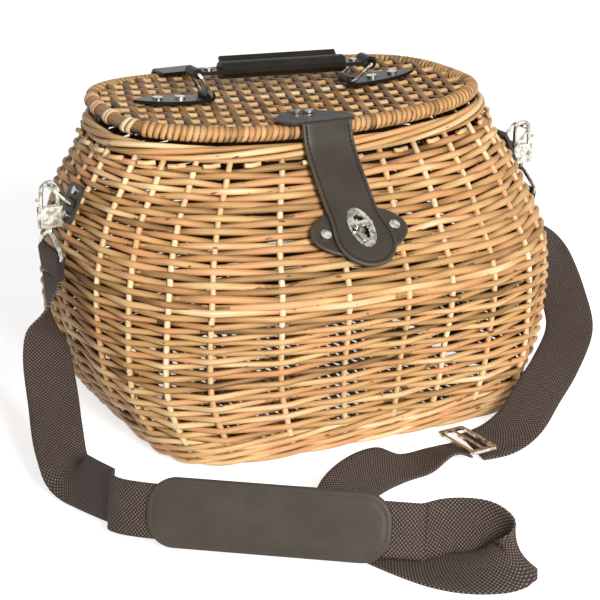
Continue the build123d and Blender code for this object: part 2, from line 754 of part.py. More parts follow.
# Handle tabs: leaf-shaped leather on the lid, each rolled into a loop for its ring
tab_low = panel_top + lid_rise(tab_pivot_x) + seat_gap
tab_high = panel_top + lid_rise(tab_pivot_x + tab_length) + seat_gap
tab_slope = (tab_high - tab_low) / tab_length
tab_pivot_height = tab_low + loop_radius
tab_planes = [Plane((side * tab_pivot_x, handle_y, tab_low), x_dir=(side, 0, tab_slope),
                    z_dir=(-side * tab_slope, 0, 1)) for side in (-1, 1)]
for side, name, plane in ((-1, "left", tab_planes[0]), (1, "right", tab_planes[1])):
    with BuildPart() as handle_tab:
        with BuildSketch(plane):
            with BuildLine():
                Line((0, -loop_width / 2), (0, loop_width / 2))
                Spline((0, loop_width / 2), (tab_length * 0.3, tab_width / 2), (tab_length * 0.65, tab_width * 0.46),
                       (tab_length, 0))
                Spline((tab_length, 0), (tab_length * 0.65, -tab_width * 0.46), (tab_length * 0.3, -tab_width / 2),
                       (0, -loop_width / 2))
            make_face()
        extrude(amount=leather)
        with BuildSketch(Plane((side * tab_pivot_x, handle_y + loop_width / 2, tab_pivot_height),
                               x_dir=(1, 0, 0), z_dir=(0, -1, 0))):
            Circle(loop_radius)
        extrude(amount=loop_width)
        with BuildSketch(Plane((side * tab_pivot_x, handle_y + loop_width, tab_pivot_height),
                               x_dir=(1, 0, 0), z_dir=(0, -1, 0))):
            Circle(wire_radius + pin_clearance)
        extrude(amount=2 * loop_width, mode=Mode.SUBTRACT)
        with BuildSketch(Plane.XY.offset(rim_height)):
            with Locations(*tab_rivet_places):
                RegularPolygon(rivet_shank_radius + 4 * rivet_clearance, shank_sides)
        extrude(amount=60, mode=Mode.SUBTRACT)
    handle_tab.part.label = "handle_tab_" + name
    export_step(handle_tab.part, "parts/handle_tab_" + name + ".step")

with BuildPart() as handle_tab_rivets:
    for plane in tab_planes:
        with BuildSketch(plane.offset(leather)):
            with Locations((tab_rivet_1, 0), (tab_rivet_2, 0)):
                RegularPolygon(rivet_head_radius, rivet_sides)
        extrude(amount=rivet_head_height)
        with BuildSketch(plane.offset(-panel_thickness + 1)):
            with Locations((tab_rivet_1, 0), (tab_rivet_2, 0)):
                RegularPolygon(rivet_shank_radius, shank_sides)
        extrude(amount=panel_thickness - 1 + leather)
handle_tab_rivets.part.label = "handle_tab_rivets"
export_step(handle_tab_rivets.part, "parts/handle_tab_rivets.step")


def rounded_places(plane, points, corner):
    """Places round a closed line on a plane, each corner eased by two short bends."""
    places = []
    for i, point in enumerate(points):
        here = Vector(*point)
        back = (Vector(*points[i - 1]) - here).normalized()
        ahead = (Vector(*points[(i + 1) % len(points)]) - here).normalized()
        middle = here + (back + ahead) * corner * 0.3
        for place in (here + back * corner, middle, here + ahead * corner):
            places.append(plane.origin + plane.x_dir * place.X + plane.y_dir * place.Y)
    return places


def wire_ring(plane, points, corner, radius):
    """Closed wire ring on a plane, its bar just inside the full radius so that it turns in its loops."""
    return bent_bar(rounded_places(plane, points, corner), plane.z_dir, radius * cos(pi / bar_sides))


# Handle rings: wire rings that join the grip to the tabs, lying outwards at two different angles
left_ring = radians(left_ring_angle)
right_ring = radians(right_ring_angle)
left_loop = (-tab_pivot_x - ring_reach * cos(left_ring), tab_pivot_height + ring_reach * sin(left_ring))
right_loop = (tab_pivot_x + ring_reach * cos(right_ring), tab_pivot_height + ring_reach * sin(right_ring))
for name, foot_x, loop in (("left", -tab_pivot_x, left_loop), ("right", tab_pivot_x, right_loop)):
    rise = (loop[0] - foot_x, 0, loop[1] - tab_pivot_height)
    ring_plane = Plane((foot_x, handle_y, tab_pivot_height), x_dir=(0, 1, 0),
                       z_dir=(-rise[2], 0, rise[0]))
    if ring_plane.y_dir.Z < 0:
        ring_plane = Plane((foot_x, handle_y, tab_pivot_height), x_dir=(0, 1, 0), z_dir=(rise[2], 0, -rise[0]))
    ring_points = [(-ring_width / 2, 0), (ring_width / 2, 0), (ring_width / 2, ring_reach),
                   (-ring_width / 2, ring_reach)]
    with BuildPart() as handle_ring:
        add(wire_ring(ring_plane, ring_points, ring_corner, wire_radius))
    handle_ring.part.label = "handle_ring_" + name
    export_step(handle_ring.part, "parts/handle_ring_" + name + ".step")

# Handle grip: leather rolled round a core and sewn along a flange, with a flat strap and a loop at each end
grip_span = hypot(right_loop[0] - left_loop[0], right_loop[1] - left_loop[1])
grip_plane = Plane((left_loop[0], handle_y, left_loop[1]),
                   x_dir=(right_loop[0] - left_loop[0], 0, right_loop[1] - left_loop[1]), z_dir=(0, -1, 0))
grip_line_plane = Plane((left_loop[0], handle_y, left_loop[1]), x_dir=(0, 1, 0),
                        z_dir=(right_loop[0] - left_loop[0], 0, right_loop[1] - left_loop[1]))
grip_top = grip_plane.y_dir
with BuildPart() as handle_grip:
    with BuildSketch(grip_line_plane.offset(grip_end_gap)):
        RegularPolygon(grip_radius, grip_sides)
    extrude(amount=grip_span - 2 * grip_end_gap)
    with BuildSketch(grip_line_plane.offset(grip_end_gap + 3)):
        with Locations(Location((0, 0), -140 if grip_line_plane.y_dir.Z < 0 else 40)):
            with Locations((grip_radius + grip_flange_depth / 2 - 1, 0)):
                Rectangle(grip_flange_depth + 2, grip_strap_thickness)
    extrude(amount=grip_span - 2 * grip_end_gap - 6)
    with BuildSketch(grip_plane.offset(-loop_width / 2)):
        with Locations((grip_span / 2, 0)):
            Rectangle(grip_span, grip_strap_thickness)
        Circle(loop_radius)
        with Locations((grip_span, 0)):
            Circle(loop_radius + open_pivot_clearance)
    extrude(amount=loop_width)
    with BuildSketch(grip_plane.offset(-loop_width)):
        Circle(wire_radius + pin_clearance)
        with Locations((grip_span, 0)):
            Circle(wire_radius + open_pivot_clearance)
    extrude(amount=2 * loop_width, mode=Mode.SUBTRACT)
    with BuildSketch(grip_line_plane.offset(grip_end_gap + 4)):
        RegularPolygon(grip_core_radius + pin_clearance, shank_sides)
    extrude(amount=grip_span - 2 * grip_end_gap - 8, mode=Mode.SUBTRACT)
    with BuildSketch(Plane(grip_plane.origin - grip_top * 10, x_dir=grip_plane.x_dir, z_dir=grip_top)):
        with Locations((grip_rivet_inset, 0), (grip_span - grip_rivet_inset, 0)):
            RegularPolygon(rivet_shank_radius + rivet_clearance, shank_sides)
    extrude(amount=20, mode=Mode.SUBTRACT)
handle_grip.part.label = "handle_grip"
export_step(handle_grip.part, "parts/handle_grip.step")

with BuildPart() as handle_core:
    with BuildSketch(grip_line_plane.offset(grip_end_gap + 4.5)):
        RegularPolygon(grip_core_radius, shank_sides)
    extrude(amount=grip_span - 2 * grip_end_gap - 9)
handle_core.part.label = "handle_core"
export_step(handle_core.part, "parts/handle_core.step")

with BuildPart() as grip_rivets:
    for start, thickness, radius, sides in (
            (-grip_strap_thickness / 2 - 1.2, 1.2, rivet_head_radius - 0.8, rivet_sides),
            (-grip_strap_thickness / 2, grip_strap_thickness, rivet_shank_radius, shank_sides),
            (grip_strap_thickness / 2, 1.2, rivet_head_radius - 0.8, rivet_sides)):
        with BuildSketch(Plane(grip_plane.origin + grip_top * start, x_dir=grip_plane.x_dir, z_dir=grip_top)):
            with Locations((grip_rivet_inset, 0), (grip_span - grip_rivet_inset, 0)):
                RegularPolygon(radius, sides)
        extrude(amount=thickness)
grip_rivets.part.label = "grip_rivets"
export_step(grip_rivets.part, "parts/grip_rivets.step")

# Side anchors: leather on the wall, rolled into a loop that holds a ring
anchor_loop_radius = wire_radius + pin_clearance + 1.8
anchor_loop_out = anchor_lift + leather + anchor_loop_radius - 0.6
for side, name, plane in ((-1, "left", anchor_planes[0]), (1, "right", anchor_planes[1])):
    with BuildPart() as side_tab:
        with BuildSketch(plane.offset(anchor_lift)):
            RectangleRounded(anchor_width, anchor_length, 5)
            with Locations(*anchor_rivet_places):
                RegularPolygon(rivet_shank_radius + rivet_clearance, shank_sides, mode=Mode.SUBTRACT)
        extrude(amount=leather)
        loop_middle = plane.origin + plane.z_dir * anchor_loop_out
        with BuildSketch(Plane(loop_middle + Vector(0, loop_width / 2, 0), x_dir=(1, 0, 0), z_dir=(0, -1, 0))):
            Circle(anchor_loop_radius)
            Circle(wire_radius + pin_clearance, mode=Mode.SUBTRACT)
        extrude(amount=loop_width)
    side_tab.part.label = "side_tab_" + name
    export_step(side_tab.part, "parts/side_tab_" + name + ".step")

with BuildPart() as side_tab_rivets:
    for plane in anchor_planes:
        with BuildSketch(plane.offset(anchor_lift + leather)):
            with Locations(*anchor_rivet_places):
                RegularPolygon(rivet_head_radius - 1, rivet_sides)
        extrude(amount=rivet_head_height - 0.4)
        with BuildSketch(plane.offset(-shank_depth)):
            with Locations(*anchor_rivet_places):
                RegularPolygon(rivet_shank_radius, shank_sides)
        extrude(amount=shank_depth + anchor_lift + leather)
side_tab_rivets.part.label = "side_tab_rivets"
export_step(side_tab_rivets.part, "parts/side_tab_rivets.step")

# Rings and bolt snaps: a ring stands out of each anchor and a snap hangs from it, gate outwards
ring_lean = radians(d_ring_angle)
anchor_loop_x = anchor_x + anchor_planes[1].z_dir.X * anchor_loop_out
anchor_loop_height = anchor_height + anchor_planes[1].z_dir.Z * anchor_loop_out
hook_x = anchor_loop_x + d_ring_reach * cos(ring_lean)
hook_line = hook_inner_radius + hook_wire_radius
mouth_height = anchor_loop_height + d_ring_reach * sin(ring_lean) + wire_radius + hook_play - hook_inner_radius
block_top = mouth_height - hook_block_drop
block_bottom = block_top - hook_block_height
gate_top = mouth_height - 0.4
gate_bottom = block_top - gate_insert
stud_height = mouth_height - gate_stud_drop
stem_top = block_bottom + swivel_stem_insert
stem_bottom = stem_top - swivel_stem_length
eye_bottom = stem_bottom - eye_height
web_inner = eye_wire_radius + webbing_slack
web_outer = web_inner + webbing_thickness
for side, name in ((-1, "left"), (1, "right")):
    ring_plane = Plane((side * anchor_loop_x, anchor_y, anchor_loop_height), x_dir=(0, 1, 0),
                       z_dir=(side * sin(ring_lean), 0, -cos(ring_lean)))
    if ring_plane.y_dir.Z < 0:
        ring_plane = Plane((side * anchor_loop_x, anchor_y, anchor_loop_height), x_dir=(0, 1, 0),
                           z_dir=(-side * sin(ring_lean), 0, cos(ring_lean)))
    ring_points = [(-d_ring_width / 2, 0), (d_ring_width / 2, 0), (d_ring_width / 2, d_ring_reach),
                   (-d_ring_width / 2, d_ring_reach)]
    with BuildPart() as d_ring:
        add(wire_ring(ring_plane, ring_points, d_ring_corner, wire_radius))
    d_ring.part.label = "d_ring_" + name
    export_step(d_ring.part, "parts/d_ring_" + name + ".step")

    # Snap body: hook, block with the gate's bore and its slot, and the bore of the swivel
    side_view = Plane((side * hook_x, anchor_y, mouth_height), x_dir=(side, 0, 0), z_dir=(0, -side, 0))
    with BuildPart() as snap_hook:
        bends = [(-hook_line, -hook_block_drop - 1)]
        bends += [(-hook_line * cos(pi * i / 6), hook_line * sin(pi * i / 6)) for i in range(7)]
        bend_places = [side_view.origin + side_view.x_dir * x + side_view.y_dir * z for x, z in bends]
        add(bent_bar(bend_places, side_view.z_dir, hook_wire_radius * cos(pi / bar_sides), closed=False))
        with BuildSketch(Plane((side * hook_x, anchor_y, block_bottom), x_dir=(side, 0, 0), z_dir=(0, 0, 1))):
            Rectangle(2 * hook_block_half_width, hook_block_thickness - 2)
            Rectangle(2 * hook_block_half_width - 2, hook_block_thickness)
        extrude(amount=hook_block_height)
        with BuildSketch(Plane((side * (hook_x + hook_line), anchor_y, gate_bottom - gate_travel - 0.5))):
            Circle(gate_radius + pin_clearance)
        extrude(amount=hook_block_height, mode=Mode.SUBTRACT)
        with BuildSketch(Plane((side * (hook_x + hook_line + 4), anchor_y,
                                stud_height - gate_travel - gate_stud_radius - 0.3))):
            Rectangle(8, 2 * (gate_stud_radius + 0.3))
        extrude(amount=hook_block_height, mode=Mode.SUBTRACT)
        with BuildSketch(Plane((side * hook_x, anchor_y, block_bottom))):
            Circle(swivel_stem_radius + pin_clearance)
        extrude(amount=swivel_stem_insert + 1, mode=Mode.SUBTRACT)
    snap_hook.part.label = "snap_hook_" + name
    export_step(snap_hook.part, "parts/snap_hook_" + name + ".step")

    # Gate: the sprung bolt with its thumb stud
    with BuildPart() as hook_gate:
        with BuildSketch(Plane((side * (hook_x + hook_line), anchor_y, gate_bottom))):
            Circle(gate_radius)
        extrude(amount=gate_top - gate_bottom)
        with BuildSketch(Plane((side * (hook_x + hook_line), anchor_y, stud_height), x_dir=(0, 1, 0),
                               z_dir=(side, 0, 0))):
            Circle(gate_stud_radius)
        extrude(amount=gate_radius + gate_stud_reach)
    hook_gate.part.label = "hook_gate_" + name
    export_step(hook_gate.part, "parts/hook_gate_" + name + ".step")

    # Swivel: stem in the block and the wide eye that the webbing passes through
    eye_plane = Plane((side * hook_x, anchor_y, eye_bottom), x_dir=(0, 1, 0), z_dir=(1, 0, 0))
    with BuildPart() as hook_swivel:
        eye_points = [(-eye_half_width, 0), (eye_half_width, 0), (eye_half_width, eye_shoulder),
                      (eye_top_half_width, eye_height), (-eye_top_half_width, eye_height),
                      (-eye_half_width, eye_shoulder)]
        add(wire_ring(eye_plane, eye_points, eye_corner, eye_wire_radius))
        with BuildSketch(Plane((side * hook_x, anchor_y, stem_bottom - 0.5))):
            Circle(swivel_stem_radius)
        extrude(amount=swivel_stem_length + 0.5)
    hook_swivel.part.label = "hook_swivel_" + name
    export_step(hook_swivel.part, "parts/hook_swivel_" + name + ".step")

    # Webbing end: folded round the eye's lower bar and sewn back on itself
    with BuildPart() as webbing_loop:
        with BuildSketch(Plane((side * hook_x, anchor_y + webbing_width / 2, eye_bottom), x_dir=(1, 0, 0),
                               z_dir=(0, -1, 0))):
            Circle(web_outer)
            with BuildLine():
                Polyline((-web_outer, 0), (web_outer, 0), (webbing_thickness, -webbing_loop_drop),
                         (-webbing_thickness, -webbing_loop_drop), close=True)
            make_face()
            Circle(web_inner, mode=Mode.SUBTRACT)
        extrude(amount=webbing_width)
    webbing_loop.part.label = "webbing_loop_" + name
    export_step(webbing_loop.part, "parts/webbing_loop_" + name + ".step")


def ribbon(route):
    """Webbing along a route, its faces flat between neighbouring sections."""
    corners = []
    for i, (x, y, z, turn, tilt) in enumerate(route):
        before = Vector(*route[max(i - 1, 0)][:3])
        after = Vector(*route[min(i + 1, len(route) - 1)][:3])
        across = Vector(cos(radians(tilt)) * cos(radians(turn)), cos(radians(tilt)) * sin(radians(turn)),
                        sin(radians(tilt))) * (webbing_width / 2)
        up = (after - before).cross(across).normalized() * (webbing_thickness / 2)
        place = Vector(x, y, z)
        corners.append([place + across + up, place - across + up, place - across - up, place + across - up])
    return flat_solid(corners)


# Long webbing: from the left snap through the pad, round the loop on the ground and on to the slider
pad_turn = atan2(pad_end[1] - pad_start[1], pad_end[0] - pad_start[0])
pad_across_turn = degrees(pad_turn) + 90
pad_route = [pad_start + (pad_centre_height, pad_across_turn, pad_tilt),
             pad_end + (pad_centre_height, pad_across_turn, pad_tilt)]
with BuildPart() as webbing_long:
    add(ribbon(left_route + pad_route + loop_route))
webbing_long.part.label = "webbing_long"
export_step(webbing_long.part, "parts/webbing_long.step")

# Short webbing: from the slider up to the right snap
with BuildPart() as webbing_short:
    add(ribbon(rise_route))
webbing_short.part.label = "webbing_short"
export_step(webbing_short.part, "parts/webbing_short.step")

# Shoulder pad: two leather layers sewn along their edges, the webbing running between them
pad_way = Vector(cos(pad_turn), sin(pad_turn), 0)
pad_across = Vector(cos(radians(pad_tilt)) * cos(radians(pad_across_turn)),
                    cos(radians(pad_tilt)) * sin(radians(pad_across_turn)), sin(radians(pad_tilt)))
pad_middle = (Vector(*pad_start, pad_centre_height) + Vector(*pad_end, pad_centre_height)) * 0.5
pad_plane = Plane(pad_middle, x_dir=pad_way, z_dir=pad_way.cross(pad_across))
pad_pocket = webbing_thickness / 2 + webbing_slack
with BuildPart() as shoulder_pad:
    with BuildSketch(pad_plane.offset(pad_pocket)):
        RectangleRounded(pad_length, pad_width, pad_corner)
    extrude(amount=pad_outer)
    with BuildSketch(pad_plane.offset(-pad_pocket + webbing_slack)):
        with Locations((0, (pad_width - pad_seam) / 2), (0, -(pad_width - pad_seam) / 2)):
            Rectangle(pad_length - 2 * pad_corner, pad_seam)
    extrude(amount=2 * pad_pocket)
shoulder_pad.part.label = "shoulder_pad"
export_step(shoulder_pad.part, "parts/shoulder_pad.step")

with BuildPart() as pad_lining:
    with BuildSketch(pad_plane.offset(-pad_pocket - pad_inner)):
        RectangleRounded(pad_length, pad_width, pad_corner)
    extrude(amount=pad_inner)
pad_lining.part.label = "pad_lining"
export_step(pad_lining.part, "parts/pad_lining.step")

# Strap slider: the metal slide that holds the two webbings at length, with its middle bar
slider_middle = ((loop_route[-1][0] + rise_route[0][0]) / 2, loop_route[-1][1],
                 rise_route[0][2] + webbing_thickness + slider_height + 2.1)
slider_across = Vector(cos(radians(rise_route[0][3])), sin(radians(rise_route[0][3])), 0)
slider_plane = Plane(slider_middle, x_dir=slider_across, z_dir=(0, 0, 1))
with BuildPart() as strap_slider:
    with BuildSketch(slider_plane.offset(-slider_height / 2)):
        RectangleRounded(webbing_width + 2 * slider_side + 1, slider_length, 3)
        window = (slider_length - 3 * slider_bar) / 2
        with Locations((0, (window + slider_bar) / 2), (0, -(window + slider_bar) / 2)):
            Rectangle(webbing_width + 1, window, mode=Mode.SUBTRACT)
    extrude(amount=slider_height)
strap_slider.part.label = "strap_slider"
export_step(strap_slider.part, "parts/strap_slider.step")
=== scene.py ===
import bpy
import random
from math import atan2, cos, degrees, hypot, pi, radians, sin, sqrt
from mathutils import Matrix, Vector


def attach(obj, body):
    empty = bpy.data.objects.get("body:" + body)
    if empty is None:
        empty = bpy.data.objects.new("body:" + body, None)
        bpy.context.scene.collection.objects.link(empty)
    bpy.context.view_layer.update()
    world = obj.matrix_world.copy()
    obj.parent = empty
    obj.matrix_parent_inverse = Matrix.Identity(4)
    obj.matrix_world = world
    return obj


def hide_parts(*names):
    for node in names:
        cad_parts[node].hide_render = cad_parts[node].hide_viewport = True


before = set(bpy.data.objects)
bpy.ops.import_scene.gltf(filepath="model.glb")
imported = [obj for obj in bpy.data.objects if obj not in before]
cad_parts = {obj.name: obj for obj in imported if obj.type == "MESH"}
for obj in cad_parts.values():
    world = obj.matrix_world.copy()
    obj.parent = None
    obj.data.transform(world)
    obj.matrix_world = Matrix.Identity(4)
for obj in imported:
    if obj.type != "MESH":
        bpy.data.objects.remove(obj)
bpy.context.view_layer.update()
mm = 0.001
up = Vector((0, 0, 1))

# The basket's outline: five levels from the foot to the mouth, wide at the belly and drawn in above
# it. Near the mouth the wall rises towards both ends with the curve of the lid.
levels = [0, 64, 128, 178, 227]
half_widths = [155, 192, 200, 190.6, 157]
fronts = [133, 145, 167, 114, 65]
backs = [133, 150, 160, 152, 135]
squarenesses = [5.5, 3.6, 2.66, 2.5, 2.43]
rim_height = levels[-1]
lift_start = 196
lift_span = 24
lift_share = 0.85
lid_half_width = 157.8
lid_front = 69.1
lid_back = 139.3
lid_front_squareness = 2.6
lid_back_squareness = 2.9
lid_end_lift = 9.6
lid_arc_radius = (lid_half_width ** 2 + lid_end_lift ** 2) / (2 * lid_end_lift)


def passed(marks, run):
    """Number of the last mark that a run has reached."""
    return max(i for i in range(len(marks) - 1) if marks[i] <= run)


def level_slope(values, i):
    """Slope of a smooth line through the levels that never overshoots a level."""
    if i == 0 or i == len(values) - 1:
        j = min(i, len(values) - 2)
        end = (values[j + 1] - values[j]) / (levels[j + 1] - levels[j])
        if i > 0:
            return end
        return end + (end - level_slope(values, 1)) / 2
    below = (values[i] - values[i - 1]) / (levels[i] - levels[i - 1])
    above = (values[i + 1] - values[i]) / (levels[i + 1] - levels[i])
    if below * above <= 0:
        return 0
    return 2 * below * above / (below + above)


def at_height(values, height):
    """Value of one wall size at any height, eased between the levels."""
    height = min(max(height, 0), rim_height)
    i = passed(levels, height)
    span = levels[i + 1] - levels[i]
    t = (height - levels[i]) / span
    start = level_slope(values, i) * span
    end = level_slope(values, i + 1) * span
    rise = values[i + 1] - values[i]
    return values[i] + t * (start + t * (3 * rise - 2 * start - end + t * (start + end - 2 * rise)))


def oval_point(half_width, front, back, front_squareness, back_squareness, turn):
    """Point of a rounded oval whose front and back reach differ, at a turn in radians."""
    depth = front if sin(turn) < 0 else back
    squareness = front_squareness if sin(turn) < 0 else back_squareness
    way = atan2(depth * sin(turn), half_width * cos(turn))
    spread = abs(cos(way) / half_width) ** squareness + abs(sin(way) / depth) ** squareness
    reach = spread ** (-1 / squareness)
    return reach * cos(way), reach * sin(way)


def wall_place(height, turn, depth=0):
    """Place on the wall in millimetres, moved in along its own slope by a depth."""
    squareness = at_height(squarenesses, height)
    x, y = oval_point(at_height(half_widths, height), at_height(fronts, height), at_height(backs, height),
                      squareness, squareness, turn)
    share = min(max((height - lift_start) / lift_span, 0), 1)
    lift = lift_share * lid_rise(x) * share * share * (3 - 2 * share)
    if depth == 0:
        return Vector((x, y, height + lift))
    low = min(height, rim_height - 2)
    around = wall_place(height, turn + 0.01) - wall_place(height, turn - 0.01)
    upward = wall_place(low + 2, turn) - wall_place(max(low - 2, 0), turn)
    return Vector((x, y, height + lift)) - around.cross(upward).normalized() * depth


def lid_point(inset, turn):
    """Point of the lid's outline seen from above, moved in by an inset."""
    return oval_point(lid_half_width - inset, lid_front - inset, lid_back - inset,
                      lid_front_squareness, lid_back_squareness, turn)


def lid_rise(x):
    """Lift of the lid at a distance from its middle, on one large arc."""
    return lid_arc_radius - sqrt(lid_arc_radius ** 2 - x ** 2)


def oval_share(share, squareness):
    """Half width of a rounded oval of half width 1, at a share of its depth."""
    return (1 - min(abs(share), 1) ** squareness) ** (1 / squareness)


def lengths_along(places):
    """Length of the way from the first place to each place."""
    runs = [0]
    for near, far in zip(places, places[1:]):
        runs.append(runs[-1] + (far - near).length)
    return runs


def curve_point(ends, t):
    """Place at a share t between the two middle ones of four ends, on a smooth curve."""
    weights = (-0.5 * t + t * t - 0.5 * t ** 3, 1 - 2.5 * t * t + 1.5 * t ** 3,
               0.5 * t + 2 * t * t - 1.5 * t ** 3, -0.5 * t * t + 0.5 * t ** 3)
    place = ends[0] * weights[0]
    for end, weight in zip(ends[1:], weights[1:]):
        place = place + end * weight
    return place


# Willow: round rods and split skeins, golden with pale streaks, olive-brown patches and small dark knots.
# Each rod has its own tone, darkened on its sides and inner face by painted shade, and a grain that runs
# along it.
def add_node(tree, kind, settings, sockets, output=0):
    """New node of a kind, with its settings and the values or links of its sockets."""
    node = tree.nodes.new("ShaderNode" + kind)
    for name, value in settings.items():
        setattr(node, name, value)
    for name, value in sockets.items():
        if isinstance(value, Tint):
            tree.links.new(value.socket, node.inputs[name])
        else:
            node.inputs[name].default_value = value
    return Tint(tree, node.outputs[output])


class Tint:
    """A value or colour in a material, so that a finish is written as a sum."""

    def __init__(self, tree, socket):
        self.tree = tree
        self.socket = socket

    def math(self, operation, *others):
        return add_node(self.tree, "Math", {"operation": operation}, dict(enumerate((self,) + others)))

    def __add__(self, other):
        return self.math("ADD", other)

    def __sub__(self, other):
        return self.math("SUBTRACT", other)

    def __mul__(self, other):
        return self.math("MULTIPLY", other)

    def step(self, low, high):
        """0 below low, 1 above high, smooth between them."""
        return add_node(self.tree, "MapRange", {"interpolation_type": "SMOOTHSTEP"},
                        {"Value": self, "From Min": low, "From Max": high})

    def towards(self, share, colour):
        """This colour mixed with another by a share."""
        return add_node(self.tree, "Mix", {"data_type": "RGBA"}, {0: share, 6: self, 7: colour + (1,)}, 2)

    def ramp(self, *stops):
        """Colour along this value: stops of (place, linear colour), the two outer ones first."""
        node = self.tree.nodes.new("ShaderNodeValToRGB")
        self.tree.links.new(self.socket, node.inputs[0])
        for i, (place, colour) in enumerate(stops):
            stop = node.color_ramp.elements[i] if i < 2 else node.color_ramp.elements.new(place)
            stop.position = place
            stop.color = colour + (1,)
        return Tint(self.tree, node.outputs[0])

    def into(self, shader, name):
        """Link this to a socket of the shader."""
        self.tree.links.new(self.socket, shader.inputs[name])

    def bump(self, shader, distance, strength):
        """Fine relief of this height on the shader."""
        add_node(self.tree, "Bump", {}, {"Height": self, "Distance": distance,
                                         "Strength": strength}).into(shader, "Normal")


def finish(name, roughness, metallic=0.0):
    """New material with its shader, ready for a colour."""
    material = bpy.data.materials.new(name)
    material.use_nodes = True
    shader = material.node_tree.nodes["Principled BSDF"]
    shader.inputs["Roughness"].default_value = roughness
    shader.inputs["Metallic"].default_value = metallic
    return material, material.node_tree, shader


def attribute(tree, name, output="Fac"):
    """A value carried by the mesh's points."""
    return add_node(tree, "Attribute", {"attribute_name": name}, {}, output)


def own_place(tree):
    """Place on the piece, in its own coordinates."""
    return add_node(tree, "TexCoord", {}, {}, "Object")


def noise(place, scale, stretch=(1, 1, 1), detail=2.0, roughness=0.5):
    """Noise over a place, stretched along its parts."""
    stretched = add_node(place.tree, "Mapping", {}, {"Vector": place, "Scale": stretch})
    return add_node(place.tree, "TexNoise", {}, {"Vector": stretched, "Scale": scale, "Detail": detail,
                                                 "Roughness": roughness})


def willow_finish(name):
    """Willow whose tone comes from each rod and whose streaks run along it."""
    material, tree, shader = finish(name, 0.5)
    shader.inputs["Specular IOR Level"].default_value = 0.35
    grain = attribute(tree, "grain", "Vector")
    streaks = noise(grain, 900, (0.03, 1, 1), 3, 0.6)
    patches = noise(grain, 34, (0.6, 1, 1))
    blush = noise(grain, 17, (0.8, 1, 2), 1)
    knots = noise(grain, 170, (0.5, 1.2, 1.2), 1)
    value = attribute(tree, "tone") + (streaks - 0.5) * 0.5 + (patches - 0.5) * 0.55
    colour = value.ramp((0.0, (0.045, 0.020, 0.007)), (1.0, (0.97, 0.80, 0.52)), (0.25, (0.24, 0.125, 0.040)),
                        (0.5, (0.52, 0.285, 0.105)), (0.74, (0.74, 0.475, 0.215)))
    colour = colour.towards(blush.step(0.46, 0.66) * value.step(0.15, 0.6) * 0.6, (0.66, 0.29, 0.125))
    colour = colour.towards((blush * -1.0 + 1.0).step(0.58, 0.74) * 0.35, (0.27, 0.17, 0.055))
    colour = colour.towards(knots.step(0.71, 0.76) * 0.85, (0.10, 0.045, 0.018))
    colour.into(shader, "Base Color")
    (streaks + patches * 0.6).bump(shader, 0.0006, 0.5)
    return material


willow = willow_finish("willow")
chance = random.Random(7)


def placed(name, data):
    """New object of the scene from its mesh, camera or lamp."""
    thing = bpy.data.objects.new(name, data)
    bpy.context.scene.collection.objects.link(thing)
    return thing


def new_piece(name, points, faces, values, body, material, replaced):
    """Piece from its points, its faces and the values that its material reads."""
    mesh = bpy.data.meshes.new(name)
    mesh.from_pydata(points, [], faces)
    for title, rows in values.items():
        if hasattr(rows[0], "__len__"):
            layer = mesh.attributes.new(title, "FLOAT_VECTOR", "POINT")
            layer.data.foreach_set("vector", [number for row in rows for number in row])
        else:
            layer = mesh.attributes.new(title, "FLOAT", "POINT")
            layer.data.foreach_set("value", rows)
    mesh.shade_smooth()
    mesh.materials.append(material)
    piece = placed(name, mesh)
    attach(piece, body)
    if replaced:
        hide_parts(*replaced)
    return piece


def nth(value, i):
    """One of a list of values, or the single value that stands for them all."""
    return value[i] if hasattr(value, "__len__") else value


grain_length = 2000
grain_spread = 0.0003
# Painted shade: how much darker each rod is painted on its sides and inner face, where shade falls between
# rods.
painted_hollow_shade = 0.2


def rods_piece(name, rods, sides, body, replaced=(), material=willow):
    """One piece made of many bent rods. Each rod: places, ups, widths, heights, tones, closed."""
    points = []
    faces = []
    grains = []
    tones = []
    for places, ups, widths, heights, tone, closed in rods:
        count = len(places)
        first = len(points)
        run = chance.random() * grain_length
        for i in range(count):
            before = places[i - 1] if closed or i > 0 else places[i]
            after = places[(i + 1) % count] if closed or i < count - 1 else places[i]
            way = (after - before).normalized()
            side = way.cross(ups[i]).normalized()
            up = side.cross(way)
            half_width = nth(widths, i) / 2
            half_height = nth(heights, i) / 2
            for k in range(sides):
                turn = 2 * pi * (k + 0.5) / sides
                offset = side * (half_width * cos(turn)) + up * (half_height * sin(turn))
                points.append((places[i] + offset) * mm)
                grains.append((run * mm, half_width * cos(turn) * mm,
                               half_height * sin(turn) * mm + first * grain_spread))
                # Painted shade: the tone falls off towards the rod's sides and inner face.
                tones.append(nth(tone, i) - painted_hollow_shade * (1 - sin(turn)) ** 2)
            if i < count - 1:
                run += (places[i + 1] - places[i]).length
        rings = count if closed else count - 1
        for i in range(rings):
            near = first + i * sides
            far = first + ((i + 1) % count) * sides
            for k in range(sides):
                after = (k + 1) % sides
                faces.append((near + k, near + after, far + after, far + k))
        if not closed:
            last = first + (count - 1) * sides
            faces.append(tuple(first + k for k in reversed(range(sides))))
            faces.append(tuple(last + k for k in range(sides)))
    return new_piece(name, points, faces, {"grain": grains, "tone": tones}, body, material, replaced)


# Side stakes: thirty pale upright rods that carry the wall, ten of them at measured places across
# the front. They lean together above the belly.
front_stakes = [199.1, 211.0, 221.4, 231.0, 245.3, 259.8, 274.0, 285.0, 296.6, 309.3]
back_gap = (538.5 - front_stakes[-1]) / 20
stakes = front_stakes + [front_stakes[-1] + back_gap * (i + 1) for i in range(19)] + [538.5]
stake_total = len(stakes)
stake_depth = 4.9
stake_width = 4.9
lean_heights = [0, 30, 70, 118, 136, 155, 176, 208, 227]
leans = [3.0, 2.8, 1.8, 0.1, 0.3, 2.0, 4.9, 8.2, 9.8]


